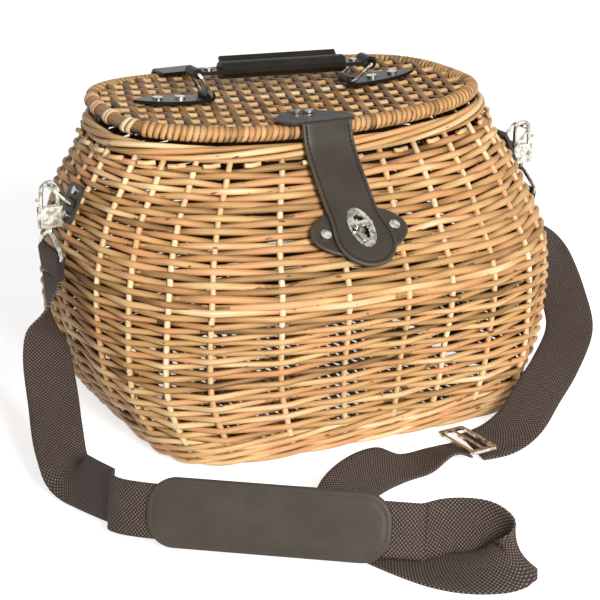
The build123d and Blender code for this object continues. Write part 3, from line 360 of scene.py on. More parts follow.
def turn_at(count, height):
    """Turn in radians at a count of stakes round the wall, with the stakes' lean at a height."""
    whole = int(count // 1)
    part = count - whole
    start = stakes[whole % stake_total] + 360 * (whole // stake_total)
    end = stakes[(whole + 1) % stake_total] + 360 * ((whole + 1) // stake_total)
    k = passed(lean_heights, max(height, 0))
    share = min((height - lean_heights[k]) / (lean_heights[k + 1] - lean_heights[k]), 1)
    return radians(start + (end - start) * part + leans[k] + (leans[k + 1] - leans[k]) * max(share, 0))


def outward(height, turn, depth):
    """Way out of the wall at a place."""
    return (wall_place(height, turn, depth - 2) - wall_place(height, turn, depth)).normalized()


stake_rods = []
for i in range(stake_total):
    heights = [4 + 214 * k / 26 for k in range(27)]
    places = [wall_place(height, turn_at(i, height), stake_depth) for height in heights]
    ups = [outward(height, turn_at(i, height), 3) for height in heights]
    stake_rods.append((places, ups, stake_width, stake_width, chance.uniform(0.82, 1.0), False))
rods_piece("side_stakes_willow", stake_rods, 8, "basket", ["side_stakes"])

# Woven wall: single rods worked in front of one stake and behind the next, each row the other way
# round. They run straight from stake to stake, finer and more open below the belly than above it.
# Three rounds of waling close the foot.
places_per_stake = 8
column_steps = 60


class WallColumn:
    """Heights of evenly spaced rows up the wall along one count of stakes."""

    def __init__(self, count):
        self.heights = [rim_height * i / column_steps for i in range(column_steps + 1)]
        self.runs = lengths_along([wall_place(height, turn_at(count, height)) for height in self.heights])

    def run_at(self, height):
        """Length up the wall at a height."""
        i = min(int(height / rim_height * column_steps), column_steps - 1)
        part = (height - self.heights[i]) / (self.heights[i + 1] - self.heights[i])
        return self.runs[i] + (self.runs[i + 1] - self.runs[i]) * part

    def height_at(self, low, high, share):
        """Height at a share of the way between two heights, measured along the wall."""
        goal = self.run_at(low) + (self.run_at(high) - self.run_at(low)) * share
        i = passed(self.runs, goal)
        part = (goal - self.runs[i]) / (self.runs[i + 1] - self.runs[i])
        return self.heights[i] + (self.heights[i + 1] - self.heights[i]) * min(part, 1)


wall_columns = [WallColumn(i) for i in range(stake_total)]


def woven_rod(counts, node_at):
    """Places and outward ways of a rod that runs straight between its places at the stakes."""
    places = []
    ups = []
    for count in counts:
        place = Vector((0, 0, 0))
        out = Vector((0, 0, 0))
        for shift, weight in ((-0.13, 0.25), (0, 0.5), (0.13, 0.25)):
            whole = int((count + shift) // 1)
            part = count + shift - whole
            near, near_out = node_at(whole)
            far, far_out = node_at(whole + 1)
            place += (near + (far - near) * part) * weight
            out += (near_out + (far_out - near_out) * part) * weight
        places.append(place)
        ups.append(out.normalized())
    return places, ups


def wall_rows(low, high, count, fill, reach, thickness):
    """Rods of a stretch of weaving: rows between two heights, each row of three or four rods."""
    rods = []
    for row in range(count):
        parity = row % 2
        nodes = []
        pitches = []
        for i in range(stake_total):
            column = wall_columns[i]
            pitch = (column.run_at(high) - column.run_at(low)) / count
            height = column.height_at(low, high, (row + 0.5) / count) + chance.uniform(-0.13, 0.13) * pitch
            depth = stake_depth + (reach if (i - parity) % 2 == 0 else -reach)
            turn = turn_at(i, height)
            nodes.append((wall_place(height, turn, depth), outward(height, turn, depth)))
            pitches.append(pitch)
        cuts = []
        place = chance.randrange(0, 5) * 2 + parity
        first = place
        while place < first + stake_total:
            cuts.append(place)
            place += chance.choice((6, 8, 10, 12))
        if first + stake_total - cuts[-1] < 6:
            cuts.pop()
        cuts.append(first + stake_total)
        for start, end in zip(cuts, cuts[1:]):
            tone = min(max(chance.gauss(0.57, 0.12), 0.3), 0.82)
            fat = fill * chance.uniform(0.95, 1.05)
            steps = (end - start) * places_per_stake
            counts = [start + k / places_per_stake for k in range(-2, steps + 3)]
            places, ups = woven_rod(counts, lambda whole: nodes[whole % stake_total])
            widths = []
            tones = []
            for k, count_here in enumerate(counts):
                behind = abs((count_here - parity) % 2 - 1)
                width = pitches[round(count_here) % stake_total] * fat * (1.04 - 0.10 * k / steps)
                widths.append(width * (1 - 0.10 * behind) * (1.08 if places[k].y > 0 else 1))
                # Painted shade: each rod is painted darker where it passes behind a stake, where shade falls,
                # and a little lighter in front.
                tones.append(tone + 0.05 - 0.22 * behind ** 1.5)
            rods.append((places, ups, widths, thickness, tones, False))
    return rods


wale_thickness = 4.4
wale_strands = 3


def wale_rods(low, high):
    """Rods of a round of waling, each in front of two stakes and behind one."""
    rods = []
    for strand in range(wale_strands):
        tone = chance.uniform(0.45, 0.85)
        places = []
        ups = []
        for k in range(stake_total * places_per_stake):
            count_here = k / places_per_stake
            phase = 2 * pi * (count_here - strand) / wale_strands
            height = (low + high) / 2 + (high - low) / 2 * 0.7 * sin(phase)
            depth = stake_depth - 1.0 - 2.8 * cos(phase)
            turn = turn_at(count_here, height)
            places.append(wall_place(height, turn, depth))
            ups.append(outward(height, turn, depth))
        rods.append((places, ups, wale_thickness, wale_thickness, tone, True))
    return rods


lower_rods = wale_rods(2.4, 8.6) + wale_rods(7.5, 14.5) + wale_rods(13.5, 21.0)
lower_rods += wall_rows(20.5, 126.5, 22, 0.96, 2.7, 4.6)
rods_piece("woven_wall_lower", lower_rods, 8, "basket", ["woven_wall"])
upper_rods = wall_rows(126.5, 214.5, 22, 1.04, 2.5, 5.0)
rods_piece("woven_wall_upper", upper_rods, 8, "basket", ["woven_wall"])

# Rolled border: the stakes bent down at the top and laid side by side in long strands that cross
# slowly round the mouth, with a pale cut end below them at each stake.
border_height = 220.4
border_steps = 240
border_strands = 5
border_twists = 3
border_inset = 1.9
twist_reach = 2.3
twist_rise = 4.5
cut_height = 213.2
cut_thickness = 3.9
border_rods = []
for strand, tone in enumerate((0.75, 0.5, 0.85, 0.6, 0.7)):
    places = []
    ups = []
    for k in range(border_steps):
        turn = 2 * pi * k / border_steps
        middle = wall_place(border_height, turn)
        out = middle - wall_place(border_height, turn, 1)
        out.z = 0
        out.normalize()
        around = 2 * pi * (border_twists * k / border_steps + strand / border_strands)
        places.append(middle - out * border_inset + out * (twist_reach * cos(around))
                      + up * (twist_rise * sin(around)))
        ups.append(out * cos(around) + up * sin(around))
    border_rods.append((places, ups, 5.0, 4.8, tone, True))
for i in range(stake_total):
    height = cut_height + chance.uniform(-0.6, 0.8)
    turn = turn_at(i + 0.35 + chance.uniform(-0.08, 0.08), height)
    middle = wall_place(height, turn, 2.2)
    out = middle - wall_place(height, turn, 4.2)
    along = up.cross(out).normalized()
    ends = [middle + along * 11 - out * 0.8 + up * 2.6, middle + along * 4 + up * 0.9,
            middle - along * 2.2 + out * 1.5]
    border_rods.append((ends, [out.normalized()] * 3, cut_thickness, cut_thickness, 0.84, False))
rods_piece("rolled_border_willow", border_rods, 8, "basket", ["rolled_border"])

# Woven base: thin rods worked across five stout sticks, closed at the foot of the wall.
foot_squareness = squarenesses[0]
base_stick_pitch = 42
base_rod_count = 66
base_rods = []
for i in range(5):
    y = (i - 2) * base_stick_pitch
    reach = 142 * oval_share(y / 124, foot_squareness)
    places = [Vector((x * reach, y, 6.6)) for x in (-1, -0.5, 0, 0.5, 1)]
    base_rods.append((places, [up] * 5, 6, 6, 0.7, False))
for i in range(base_rod_count):
    x = -139 + i * 278 / (base_rod_count - 1)
    reach = 122 * oval_share(x / 145, foot_squareness)
    places = []
    for k in range(31):
        y = -reach + 2 * reach * k / 30
        places.append(Vector((x, y, 5.6 + 3.2 * cos(pi * (y / base_stick_pitch + i % 2)))))
    base_rods.append((places, [up] * 31, 4.0, 2.8, chance.gauss(0.5, 0.13), False))
rods_piece("woven_base_willow", base_rods, 6, "basket", ["woven_base", "base_sticks"])

# Lid: a stout hoop, nine rods from end to end, and flat strands woven across them from front to
# back. The hoop is bound with split skein except at the left end, where four loops hold the panel.
hoop_height = 233.8
hoop_steps = 180
hoop_inset = 6.5
hoop_width = 10.6
hoop_places = []
for k in range(hoop_steps):
    x, y = lid_point(hoop_inset, 2 * pi * k / hoop_steps)
    hoop_places.append(Vector((x, y, hoop_height + lid_rise(x))))
hoop_rods = [(hoop_places, [up] * hoop_steps, hoop_width, hoop_width, 0.40, True)]
rods_piece("lid_hoop_willow", hoop_rods, 12, "lid", ["lid_hoop"])
hoop_runs = lengths_along(hoop_places + hoop_places[:1])
hoop_length = hoop_runs[-1]
skein_pitch = 4.6
skein_reach = 5.55
loop_reach = 5.75


def hoop_at(run):
    """Place on the hoop and the way it goes, at a length along it."""
    run = run % hoop_length
    k = passed(hoop_runs, run)
    near = hoop_places[k]
    far = hoop_places[(k + 1) % hoop_steps]
    way = (far - near).normalized()
    return near + way * (run - hoop_runs[k]), way


def skein_band(run, width, tone, lean, reach=skein_reach):
    """One turn of flat skein round the hoop at a length along it."""
    places = []
    ups = []
    for k in range(14):
        turn = 2 * pi * k / 14
        middle, way = hoop_at(run + lean * sin(turn))
        side = way.cross(up).normalized()
        out = side * cos(turn) + side.cross(way) * sin(turn)
        places.append(middle + out * reach)
        ups.append(out)
    return places, ups, width, 1.3, tone, True


bare_start = hoop_runs[73]
bare_end = hoop_runs[105]
band_rods = []
run = bare_end
while run < bare_start + hoop_length - 2:
    band_rods.append(skein_band(run, chance.uniform(3.9, 4.6), chance.gauss(0.52, 0.08),
                                chance.uniform(0.5, 1.5)))
    run += skein_pitch
for share in (0.14, 0.38, 0.62, 0.86):
    run = bare_start + (bare_end - bare_start) * share
    band_rods.append(skein_band(run, 5.4, 0.95, 2.0, loop_reach))
    band_rods.append(skein_band(run + 5, 5.0, 0.88, 2.0, loop_reach))
rods_piece("hoop_skein_willow", band_rods, 6, "lid", ["hoop_lashings"])

panel_middle = 237.0
rod_inset = 12.0
strand_inset = 12.2
rod_total = 9
rod_front = -(lid_front - 13.3 - 9)
rod_back = lid_back - 13.3 - 9
rod_pitch = (rod_back - rod_front) / (rod_total - 1)
strand_count = 42
strand_steps = 49


def panel_half(y, inset):
    """Half width of the woven panel at a distance back."""
    depth = lid_front if y < 0 else lid_back
    squareness = lid_front_squareness if y < 0 else lid_back_squareness
    return (lid_half_width - inset) * oval_share(y / (depth - inset), squareness)


def panel_ends(x, inset):
    """Front and back ends of a strand of the panel at a distance from its middle."""
    share = x / (lid_half_width - inset)
    return (-(lid_front - inset) * oval_share(share, lid_front_squareness),
            (lid_back - inset) * oval_share(share, lid_back_squareness))


lid_rods = []
for i in range(rod_total):
    y = rod_front + rod_pitch * i
    half = panel_half(y, rod_inset)
    ways = [-half + 2 * half * k / 40 for k in range(41)]
    places = [Vector((x, y, panel_middle - 0.6 + lid_rise(x))) for x in ways]
    lid_rods.append((places, [up] * 41, 5.2, 4.6, chance.uniform(0.68, 0.9), False))
rods_piece("lid_rods_willow", lid_rods, 8, "lid", ["lid_rods"])
lid_strands = []
for i in range(strand_count):
    x = -138 + 276 * i / (strand_count - 1)
    front_end, back_end = panel_ends(x, strand_inset)
    places = []
    lean = chance.uniform(-0.8, 0.8)
    for k in range(strand_steps):
        y = front_end + (back_end - front_end) * k / (strand_steps - 1)
        share = abs(((y - rod_front) / rod_pitch + i % 2) % 2 - 1)
        wave = 0.6 * (2 * share - 1) - 0.4 * cos(pi * share)
        places.append(Vector((x + lean * k / strand_steps, y, panel_middle + lid_rise(x) - 0.4 + 1.9 * wave)))
    lid_strands.append((places, [up] * strand_steps, chance.uniform(5.4, 6.1), 2.5,
                        chance.gauss(0.24, 0.07), False))
rods_piece("lid_panel_willow", lid_strands, 8, "lid", ["lid_panel"])

# Leather: smooth, dark grey-brown, nearly black on the lid, with a fine grain, a paler raw edge and
# waxed thread along its edges.
def leather_finish(name, dark, pale, roughness, shine):
    """Leather with a fine grain, slow changes of tone and a paler rim where it is cut."""
    material, tree, shader = finish(name, roughness)
    shader.inputs["Specular IOR Level"].default_value = shine
    slow = noise(own_place(tree), 45, detail=3)
    fine = noise(own_place(tree), 1400, detail=2, roughness=0.6)
    colour = (slow + (fine - 0.5) * 0.25).ramp((0.3, dark), (0.72, pale))
    colour.towards(attribute(tree, "rim"), tuple(value * 2.1 for value in pale)).into(shader, "Base Color")
    (fine + slow * 0.5).bump(shader, 0.0002, 0.45)
    return material


dark_leather = leather_finish("dark_leather", (0.010, 0.0078, 0.005), (0.020, 0.0155, 0.010), 0.24, 0.16)
grey_leather = leather_finish("grey_leather", (0.030, 0.0235, 0.0155), (0.048, 0.038, 0.026), 0.42, 0.3)
pad_leather = leather_finish("pad_leather", (0.037, 0.030, 0.022), (0.056, 0.045, 0.033), 0.5, 0.3)
thread, tree, shader = finish("thread", 0.7)
shader.inputs["Base Color"].default_value = (0.008, 0.007, 0.006, 1)


def dressed(material, slot, edge, *names):
    """CAD pieces given their finish and a small worn edge."""
    for name in names:
        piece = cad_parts[name]
        piece.data.materials.clear()
        piece.data.materials.append(material)
        if edge:
            bevel = piece.modifiers.new("worn_edge", "BEVEL")
            bevel.width = edge * mm
            bevel.segments = 2
            bevel.limit_method = "ANGLE"
            bevel.angle_limit = radians(35)


def stitches(name, places, ups, body, length, width, gap):
    """Rods of a row of stitches, each a short dash on the leather."""
    marks = lengths_along(places)
    run = marks[-1]
    count = max(int(run / (length + gap)), 1)
    step = run / count

    def at(distance):
        k = passed(marks, distance + 1e-9)
        share = (distance - marks[k]) / max(marks[k + 1] - marks[k], 1e-9)
        return places[k] + (places[k + 1] - places[k]) * share, ups[k]

    rods = []
    for i in range(count):
        start, raised = at(i * step)
        end, raised = at(min(i * step + length * step / (length + gap), run))
        middle = (start + end) / 2
        dash = [start - raised * 0.15, start * 0.7 + middle * 0.3 + raised * 0.22, middle + raised * 0.3,
                end * 0.7 + middle * 0.3 + raised * 0.22, end - raised * 0.15]
        widths = [width * 0.7, width, width, width, width * 0.7]
        rods.append((dash, [raised] * 5, widths, width, 0.5, False))
    return rods_piece(name, rods, 5, body, (), thread)


dressed(dark_leather, "dark_leather", 0.5, "hinge_leaf_left", "hinge_leaf_right", "hinge_anchor_left",
        "hinge_anchor_right")
dressed(dark_leather, "dark_leather", 0.9, "handle_tab_left", "handle_tab_right", "handle_grip")

# Closure: the flap is two layers of grey leather sewn along the edge with black thread. It folds down
# from a leaf on the lid, narrows a little and ends in a round bulb over the turn lock.
closure_x = -9
lock_middle = Vector((closure_x, -125.27, 168.6))
lock_out = Vector((0, -0.6015, 0.7989))
lock_up = Vector((0, 0.7989, 0.6015))
flap_corners = [Vector((0, -72.1, 242.3)), Vector((0, -76.4, 227.5)), Vector((0, -84.5, 215.5)),
                Vector((0, -98, 200.5)), Vector((0, -113.5, 184.9)), Vector((0, -129.7, 172.6)),
                Vector((0, -155.9, 152.9))]
flap_path = []
for i in range(len(flap_corners) - 1):
    ends = [flap_corners[min(max(k, 0), len(flap_corners) - 1)] for k in (i - 1, i, i + 1, i + 2)]
    flap_path += [curve_point(ends, k / 12) for k in range(12)]
flap_path.append(flap_corners[-1])
flap_marks = lengths_along(flap_path)
flap_length = flap_marks[-1]
bulb_radius = 24
neck_length = 26
neck_depth = 3.2
seam_inset = 3.1
seam_height = 1.35
face_height = 1.5
back_height = -1.3
groove_depth = 0.4


def flap_at(run, x, height):
    """Place on the flap and its outward way."""
    run = min(max(run, 0), flap_length)
    k = passed(flap_marks, run)
    way = (flap_path[k + 1] - flap_path[k]).normalized()
    place = flap_path[k] + way * (run - flap_marks[k])
    soft = (flap_path[min(k + 2, len(flap_path) - 1)] - flap_path[max(k - 1, 0)]).normalized()
    out = Vector((1, 0, 0)).cross(soft).normalized() * -1
    return place + Vector((closure_x + x, 0, 0)) + out * height, out


def flap_half(left):
    """Half width of the flap at a length left before its end."""
    if left < bulb_radius:
        return sqrt(max(bulb_radius ** 2 - (bulb_radius - left) ** 2, 0))
    t = min((left - bulb_radius) / neck_length, 1)
    return bulb_radius - neck_depth * t * t * (3 - 2 * t)


def flap_edge(left, x):
    """Distance from a place on the flap to its edge."""
    if left < bulb_radius:
        return bulb_radius - hypot(x, bulb_radius - left)
    return flap_half(left) - abs(x)


def sheet_faces(rows, columns):
    """Faces of a closed sheet: a grid of front places, the same grid behind it and the edge between."""
    layer = rows * columns
    faces = []
    for i in range(rows - 1):
        for k in range(columns - 1):
            a = i * columns + k
            quad = (a, a + columns, a + columns + 1, a + 1)
            faces += [quad, tuple(layer + v for v in reversed(quad))]
    ring = list(range(columns - 1)) + [i * columns + columns - 1 for i in range(rows - 1)]
    ring += [(rows - 1) * columns + k for k in range(columns - 1, 0, -1)]
    ring += [i * columns for i in range(rows - 1, 0, -1)]
    for a, b in zip(ring, ring[1:] + ring[:1]):
        faces.append((a, b, layer + b, layer + a))
    return faces


def select_only(piece):
    """The one piece that the next operators work on."""
    bpy.ops.object.select_all(action="DESELECT")
    piece.select_set(True)
    bpy.context.view_layer.objects.active = piece


def sheet_piece(name, rows, columns, place_at, body, material, replaced):
    """Closed leather piece from a grid: place_at(i, k, face) gives a place and how raw it is."""
    points = []
    rims = []
    for face in (1, 0):
        for i in range(rows):
            for k in range(columns):
                place, rim = place_at(i, k, face)
                points.append(place * mm)
                rims.append(rim)
    piece = new_piece(name, points, sheet_faces(rows, columns), {"rim": rims}, body, material, replaced)
    select_only(piece)
    bpy.ops.object.mode_set(mode="EDIT")
    bpy.ops.mesh.select_all(action="SELECT")
    bpy.ops.mesh.remove_doubles(threshold=0.00002)
    bpy.ops.mesh.normals_make_consistent(inside=False)
    bpy.ops.object.mode_set(mode="OBJECT")
    return piece


flap_rows = 92
flap_columns = 35
flap_runs = []
for i in range(flap_rows):
    t = i / (flap_rows - 1)
    flap_runs.append(flap_length * (t if t < 0.7 else 0.7 + 0.3 * sin(pi / 2 * (t - 0.7) / 0.3)))


def flap_place(i, k, face):
    """Place on the front or back of the flap."""
    run = flap_runs[i]
    left = flap_length - run
    x = -flap_half(left) * cos(pi * k / (flap_columns - 1))
    edge = max(flap_edge(left, x), 0)
    if not face:
        return flap_at(run, x, back_height)[0], 0.6
    groove = groove_depth * 2.718 ** (-((edge - seam_inset) / 0.8) ** 2)
    height = face_height - 0.9 * max(1 - edge / 0.9, 0) ** 2 - groove
    height += 0.35 * min(max((edge - 3.5) / 5, 0), 1)
    return flap_at(run, x, height)[0], max(1 - edge / 1.5, 0) * 0.9


flap_piece = sheet_piece("closure_flap_leather", flap_rows, flap_columns, flap_place, "flap", grey_leather,
                         ["closure_flap"])

# Window of the flap: a slot with round ends under the eyelet, wide enough for the lock's knob.
window_radius = 5.2
window_half_length = 7
window_points = []
for level in (-6, 18):
    for k in range(32):
        turn = 2 * pi * k / 32
        y = window_radius * sin(turn) + (window_half_length if sin(turn) > 0 else -window_half_length)
        window_points.append((lock_middle + Vector((window_radius * cos(turn), 0, 0)) + lock_up * y
                              + lock_out * level) * mm)
window_faces = [tuple(reversed(range(32))), tuple(range(32, 64))]
window_faces += [(k, (k + 1) % 32, 32 + (k + 1) % 32, 32 + k) for k in range(32)]
window_mesh = bpy.data.meshes.new("window")
window_mesh.from_pydata(window_points, [], window_faces)
window = placed("window", window_mesh)
opening = flap_piece.modifiers.new("window", "BOOLEAN")
opening.operation = "DIFFERENCE"
opening.object = window
opening.solver = "EXACT"
select_only(flap_piece)
bpy.ops.object.modifier_apply(modifier="window")
bpy.data.objects.remove(window)

# Stitches down both sides of the flap and round its bulb.
sides = ([], [])
for side, flap_side in zip((-1, 1), sides):
    run = 3.0
    while flap_length - run > bulb_radius:
        flap_side.append(flap_at(run, side * (flap_half(flap_length - run) - seam_inset), seam_height))
        run += 2.0
bulb_seam = []
for k in range(41):
    turn = pi * k / 40
    bulb_seam.append(flap_at(flap_length - bulb_radius + (bulb_radius - seam_inset) * sin(turn),
                             -(bulb_radius - seam_inset) * cos(turn), seam_height))
seam = sides[0] + bulb_seam + sides[1][::-1]
stitches("flap_thread", [place for place, out in seam], [out for place, out in seam], "flap", 2.4, 1.1, 1.4)

# Leaf on the lid: glossy black leather, its rim turned up a little, held by the two rivets.
leaf_middle = Vector((-13, -58, 0))
leaf_outline = [(15, -71.5), (16.5, -66), (15, -59), (9, -50), (0, -42), (-11, -36.5), (-23, -36), (-33, -41),
                (-41, -50), (-45, -59), (-44, -66), (-38, -71), (-30, -72.3), (-10, -72.4), (8, -72.2)]
leaf_rings = 9
leaf_steps = len(leaf_outline) * 6


def leaf_place(i, k, face):
    """Place on the leaf: rings out from its middle, with a low rim round it."""
    share = 1 - (1 - k / (leaf_rings - 1)) ** 1.8
    corner = (i // 6) % len(leaf_outline)
    ends = [Vector((*leaf_outline[(corner + shift) % len(leaf_outline)], 0)) for shift in (-1, 0, 1, 2)]
    edge = curve_point(ends, (i % 6) / 6)
    place = leaf_middle + (edge - leaf_middle) * share
    out = (edge - leaf_middle).length * (1 - share)
    height = 241.05 + lid_rise(place.x) - lid_rise(-33)
    if face:
        height += 2.3 - 0.8 * max(1 - out / 0.8, 0) ** 2 - 0.5 * 2.718 ** (-((out - 3.4) / 1.2) ** 2)
        return Vector((place.x, place.y, height)), max(1 - out / 1.2, 0)
    return Vector((place.x, place.y, height + 0.1)), 0.5


sheet_piece("closure_leaf_leather", leaf_steps + 1, leaf_rings, leaf_place, "lid", dark_leather,
            ["closure_root"])

# Backing of the lock: an eye of grey leather under the flap, flat on the weave.
backing_rings = 11
backing_steps = 96
backing_half_width = 40
backing_half_height = 23


def backing_place(i, k, face):
    """Place on the backing: rings out from its middle."""
    share = 1 - (1 - k / (backing_rings - 1)) ** 1.8
    turn = -2 * pi * i / backing_steps
    spread = abs(cos(turn) / backing_half_width) ** 1.9 + abs(sin(turn) / backing_half_height) ** 1.9
    reach = spread ** (-1 / 1.9)
    out = reach * (1 - share)
    across = Vector((1, 0, 0)) * (reach * share * cos(turn))
    place = lock_middle + across + lock_up * (reach * share * sin(turn))
    if face:
        return place + lock_out * (4.0 - 0.7 * max(1 - out / 0.9, 0) ** 2), max(1 - out / 1.2, 0) * 0.8
    return place + lock_out * 1.7, 0.6


sheet_piece("lock_backing_leather", backing_steps + 1, backing_rings, backing_place, "basket", grey_leather,
            ["lock_backing"])
dressed(grey_leather, "dark_leather", 0.4, "side_tab_left", "side_tab_right", "handle_core")

# Metal: cast zinc plated with nickel, bright, with patches painted darker in place of dark reflections and a
# roughness that changes with them. Rivet heads are domed, wires smooth.
nickel, tree, shader = finish("nickel", 0.24, 1.0)
dull_and_painted_reflection = noise(own_place(tree), 260, detail=3)
# Painted reflection: the noise darkens the base colour in patches, standing in for dark reflections on the
# metal.
dull_and_painted_reflection.ramp((0.36, (0.24, 0.225, 0.19)), (0.62, (0.74, 0.71, 0.62))).into(shader, "Base Color")
(dull_and_painted_reflection * 0.12 + 0.16).into(shader, "Roughness")
dressed(nickel, "nickel", 0, "handle_ring_left", "handle_ring_right", "d_ring_left", "d_ring_right",
        "hook_swivel_left", "hook_swivel_right", "hook_gate_left", "hook_gate_right")
dressed(nickel, "nickel", 0.25, "eyelet_plate", "lock_post", "turn_knob", "strap_slider", "snap_hook_left",
        "snap_hook_right")
rivets = ("closure_rivets", "lock_rivets", "handle_tab_rivets", "side_tab_rivets", "grip_rivets")
dressed(nickel, "nickel", 1.2, *rivets)
for name in rivets:
    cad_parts[name].modifiers["worn_edge"].segments = 3

# Shoulder strap: one long and one short length of plain woven webbing, folded round the hooks' eyes,
# joined by the slide. The long one runs through the pad and loops on the ground.
def webbing_finish(name, on_path):
    """Plain woven webbing: along a piece's own path, or by its place where it is a solid."""
    material, tree, shader = finish(name, 0.85)
    cloth = attribute(tree, "cloth", "Vector") if on_path else own_place(tree)
    parts = [add_node(tree, "SeparateXYZ", {}, {0: cloth}, i) for i in ((0, 1) if on_path else (1, 2))]
    ribs, picks = [(part * (2 * pi / pitch)).math("SINE") for part, pitch in zip(parts, (0.0030, 0.0026))]
    weave = ribs * picks * 0.5 + 0.5
    fuzz = noise(cloth, 700)
    worn = noise(cloth, 30, (1, 0.5, 1))
    value = weave.step(0.3, 0.9) * 0.85 + (fuzz - 0.5) * 0.45 + (worn - 0.5) * 0.25 + 0.04
    value.ramp((0.1, (0.012, 0.007, 0.005)), (0.9, (0.21, 0.14, 0.11)),
               (0.5, (0.036, 0.022, 0.017))).into(shader, "Base Color")
    (weave + fuzz * 0.3).bump(shader, 0.0004, 0.8)
    return material


webbing = webbing_finish("webbing", True)
folded_webbing = webbing_finish("folded_webbing", False)
strap_width = 38
strap_thickness = 1.9
route_step = 4.0


def tilted(turn, tilt):
    """Way of the webbing's width from its turn and tilt in degrees."""
    turn = radians(turn)
    tilt = radians(tilt)
    return Vector((cos(tilt) * cos(turn), cos(tilt) * sin(turn), sin(tilt)))


def eased_route(route):
    """Places and width ways along a route, eased through its points."""
    places = [Vector(point[:3]) for point in route]
    widths = [tilted(turn, tilt) for x, y, z, turn, tilt in route]
    eased = []
    for i in range(len(route) - 1):
        near = [max(i - 1, 0), i, i + 1, min(i + 2, len(route) - 1)]
        steps = max(int((places[i + 1] - places[i]).length / route_step), 2)
        for k in range(steps + (1 if i == len(route) - 2 else 0)):
            eased.append((curve_point([places[end] for end in near], k / steps),
                          curve_point([widths[end] for end in near], k / steps).normalized()))
    return eased


def ribbon_piece(name, route, replaced):
    """Webbing along a route: the piece, its path and its length in metres."""
    eased = eased_route(route)
    count = len(eased)
    half = strap_width / 2
    thick = strap_thickness / 2
    outline = [(-half + strap_width * k / 10, thick) for k in range(11)]
    outline = [(-half, 0)] + [(x * 0.985, y) for x, y in outline] + [(half, 0)]
    outline += [(half * 0.985 - strap_width * 0.985 * k / 10, -thick) for k in range(11)]
    around = len(outline)
    runs = lengths_along([place for place, width in eased])
    points = []
    cloths = []
    faces = []
    for i, (place, width) in enumerate(eased):
        way = (eased[min(i + 1, count - 1)][0] - eased[max(i - 1, 0)][0]).normalized()
        width = (width - way * width.dot(way)).normalized()
        face_out = way.cross(width).normalized()
        for x, y in outline:
            points.append((place + width * x + face_out * y) * mm)
            cloths.append((x * mm, runs[i] * mm, y * mm))
        if i < count - 1:
            first = i * around
            for k in range(around):
                after = (k + 1) % around
                faces.append((first + k, first + around + k, first + around + after, first + after))
    faces.append(tuple(range(around)))
    faces.append(tuple((count - 1) * around + k for k in reversed(range(around))))
    piece = new_piece(name, points, faces, {"cloth": cloths}, "basket", webbing, replaced)
    return piece, [place * mm for place, width in eased], runs[-1] * mm


left_route = [(-207.9, -8, 130.2, 90, 0), (-210.5, -10.5, 118, 80, 0), (-214.5, -15, 105, 64, 0),
              (-218, -18, 94, 43, 0), (-220.5, -24, 83, 18, 0), (-223.5, -36, 67, -8, 0),
              (-228, -57, 49, -24, 0), (-234, -80, 35, -25, 0), (-238, -100, 23, 10, 5),
              (-239, -120, 17, 55, 25), (-237, -146, 20, 58, 50), (-232, -178, 24, 56, 66)]
pad_start = Vector((-223.6, -217.7, 27.5))
pad_end = Vector((-81.4, -321.3, 27.5))
pad_turn = degrees(atan2(pad_end.y - pad_start.y, pad_end.x - pad_start.x)) + 90
pad_tilt = 72
pad_route = [(*pad_start, pad_turn, pad_tilt), (*pad_end, pad_turn, pad_tilt)]
loop_route = [(-64, -326, 25, 68, 73), (-46, -330, 27, 62, 75), (-27, -344, 28, 43, 85),
              (-16, -362, 23, -171, 75), (-22, -374, 16, 111, 45), (-42, -368, 9.5, 56, 25),
              (-60, -350, 6, 32, 15), (-74, -320, 3, 21, 5), (-82, -292, 1.2, 10, 0),
              (-84, -262, 2.3, 0, -3), (-82, -240, 5, -19, -10), (-70, -222, 9.5, -47, -25),
              (-45, -205, 11.5, -61, -32), (-15, -192, 9.5, -70, -25), (12, -184, 2, -79, 0),
              (36, -182, 6.5, -90, 15), (52, -183.5, 4.6, -94, 6)]
rise_route = [(60, -184, 6, -85, -8), (84, -184, 8.5, -62, -12), (108, -176, 15, -45, -12),
              (134, -159, 27, -38, -8), (163, -140, 41, -34, -4), (195, -110, 56, -34, 0),
              (211, -74, 73, -30, 0), (219, -44, 90, -18, 0), (220, -27, 104, 15, 0),
              (216, -15, 117, 62, 0), (209.5, -9.5, 124.5, 86, 0), (207.9, -8, 130.2, 90, 0)]
long_webbing, long_path, long_length = ribbon_piece("strap_long", left_route + pad_route + loop_route,
                                                    ["webbing_long"])
short_webbing, short_path, short_length = ribbon_piece("strap_short", rise_route, ["webbing_short"])
dressed(folded_webbing, "webbing", 0, "webbing_loop_left", "webbing_loop_right")

# Shoulder pad: two layers of smooth leather sewn together near their edge over a thin filling.
pad_length = 168
pad_width = 48
pad_corner = 20
pad_seam_inset = 4.2
half_webbing = 1.35
outer_thickness = 2.7
inner_thickness = 2.1
pad_way = (pad_end - pad_start).normalized()
pad_across = tilted(pad_turn, pad_tilt)
pad_out = pad_way.cross(pad_across).normalized()
pad_middle = (pad_start + pad_end) / 2


def pad_half_width(x):
    """Half width of the pad's rounded outline at a distance from its middle."""
    over = abs(x) - (pad_length / 2 - pad_corner)
    if over <= 0:
        return pad_width / 2
    return pad_width / 2 - pad_corner + sqrt(max(pad_corner ** 2 - over ** 2, 0))


def pad_edge_distance(x, y):
    """How far a place on the pad lies from its edge."""
    dx = abs(x) - (pad_length / 2 - pad_corner)
    dy = abs(y) - (pad_width / 2 - pad_corner)
    if dx > 0 and dy > 0:
        return pad_corner - hypot(dx, dy)
    return pad_corner - max(dx, dy)


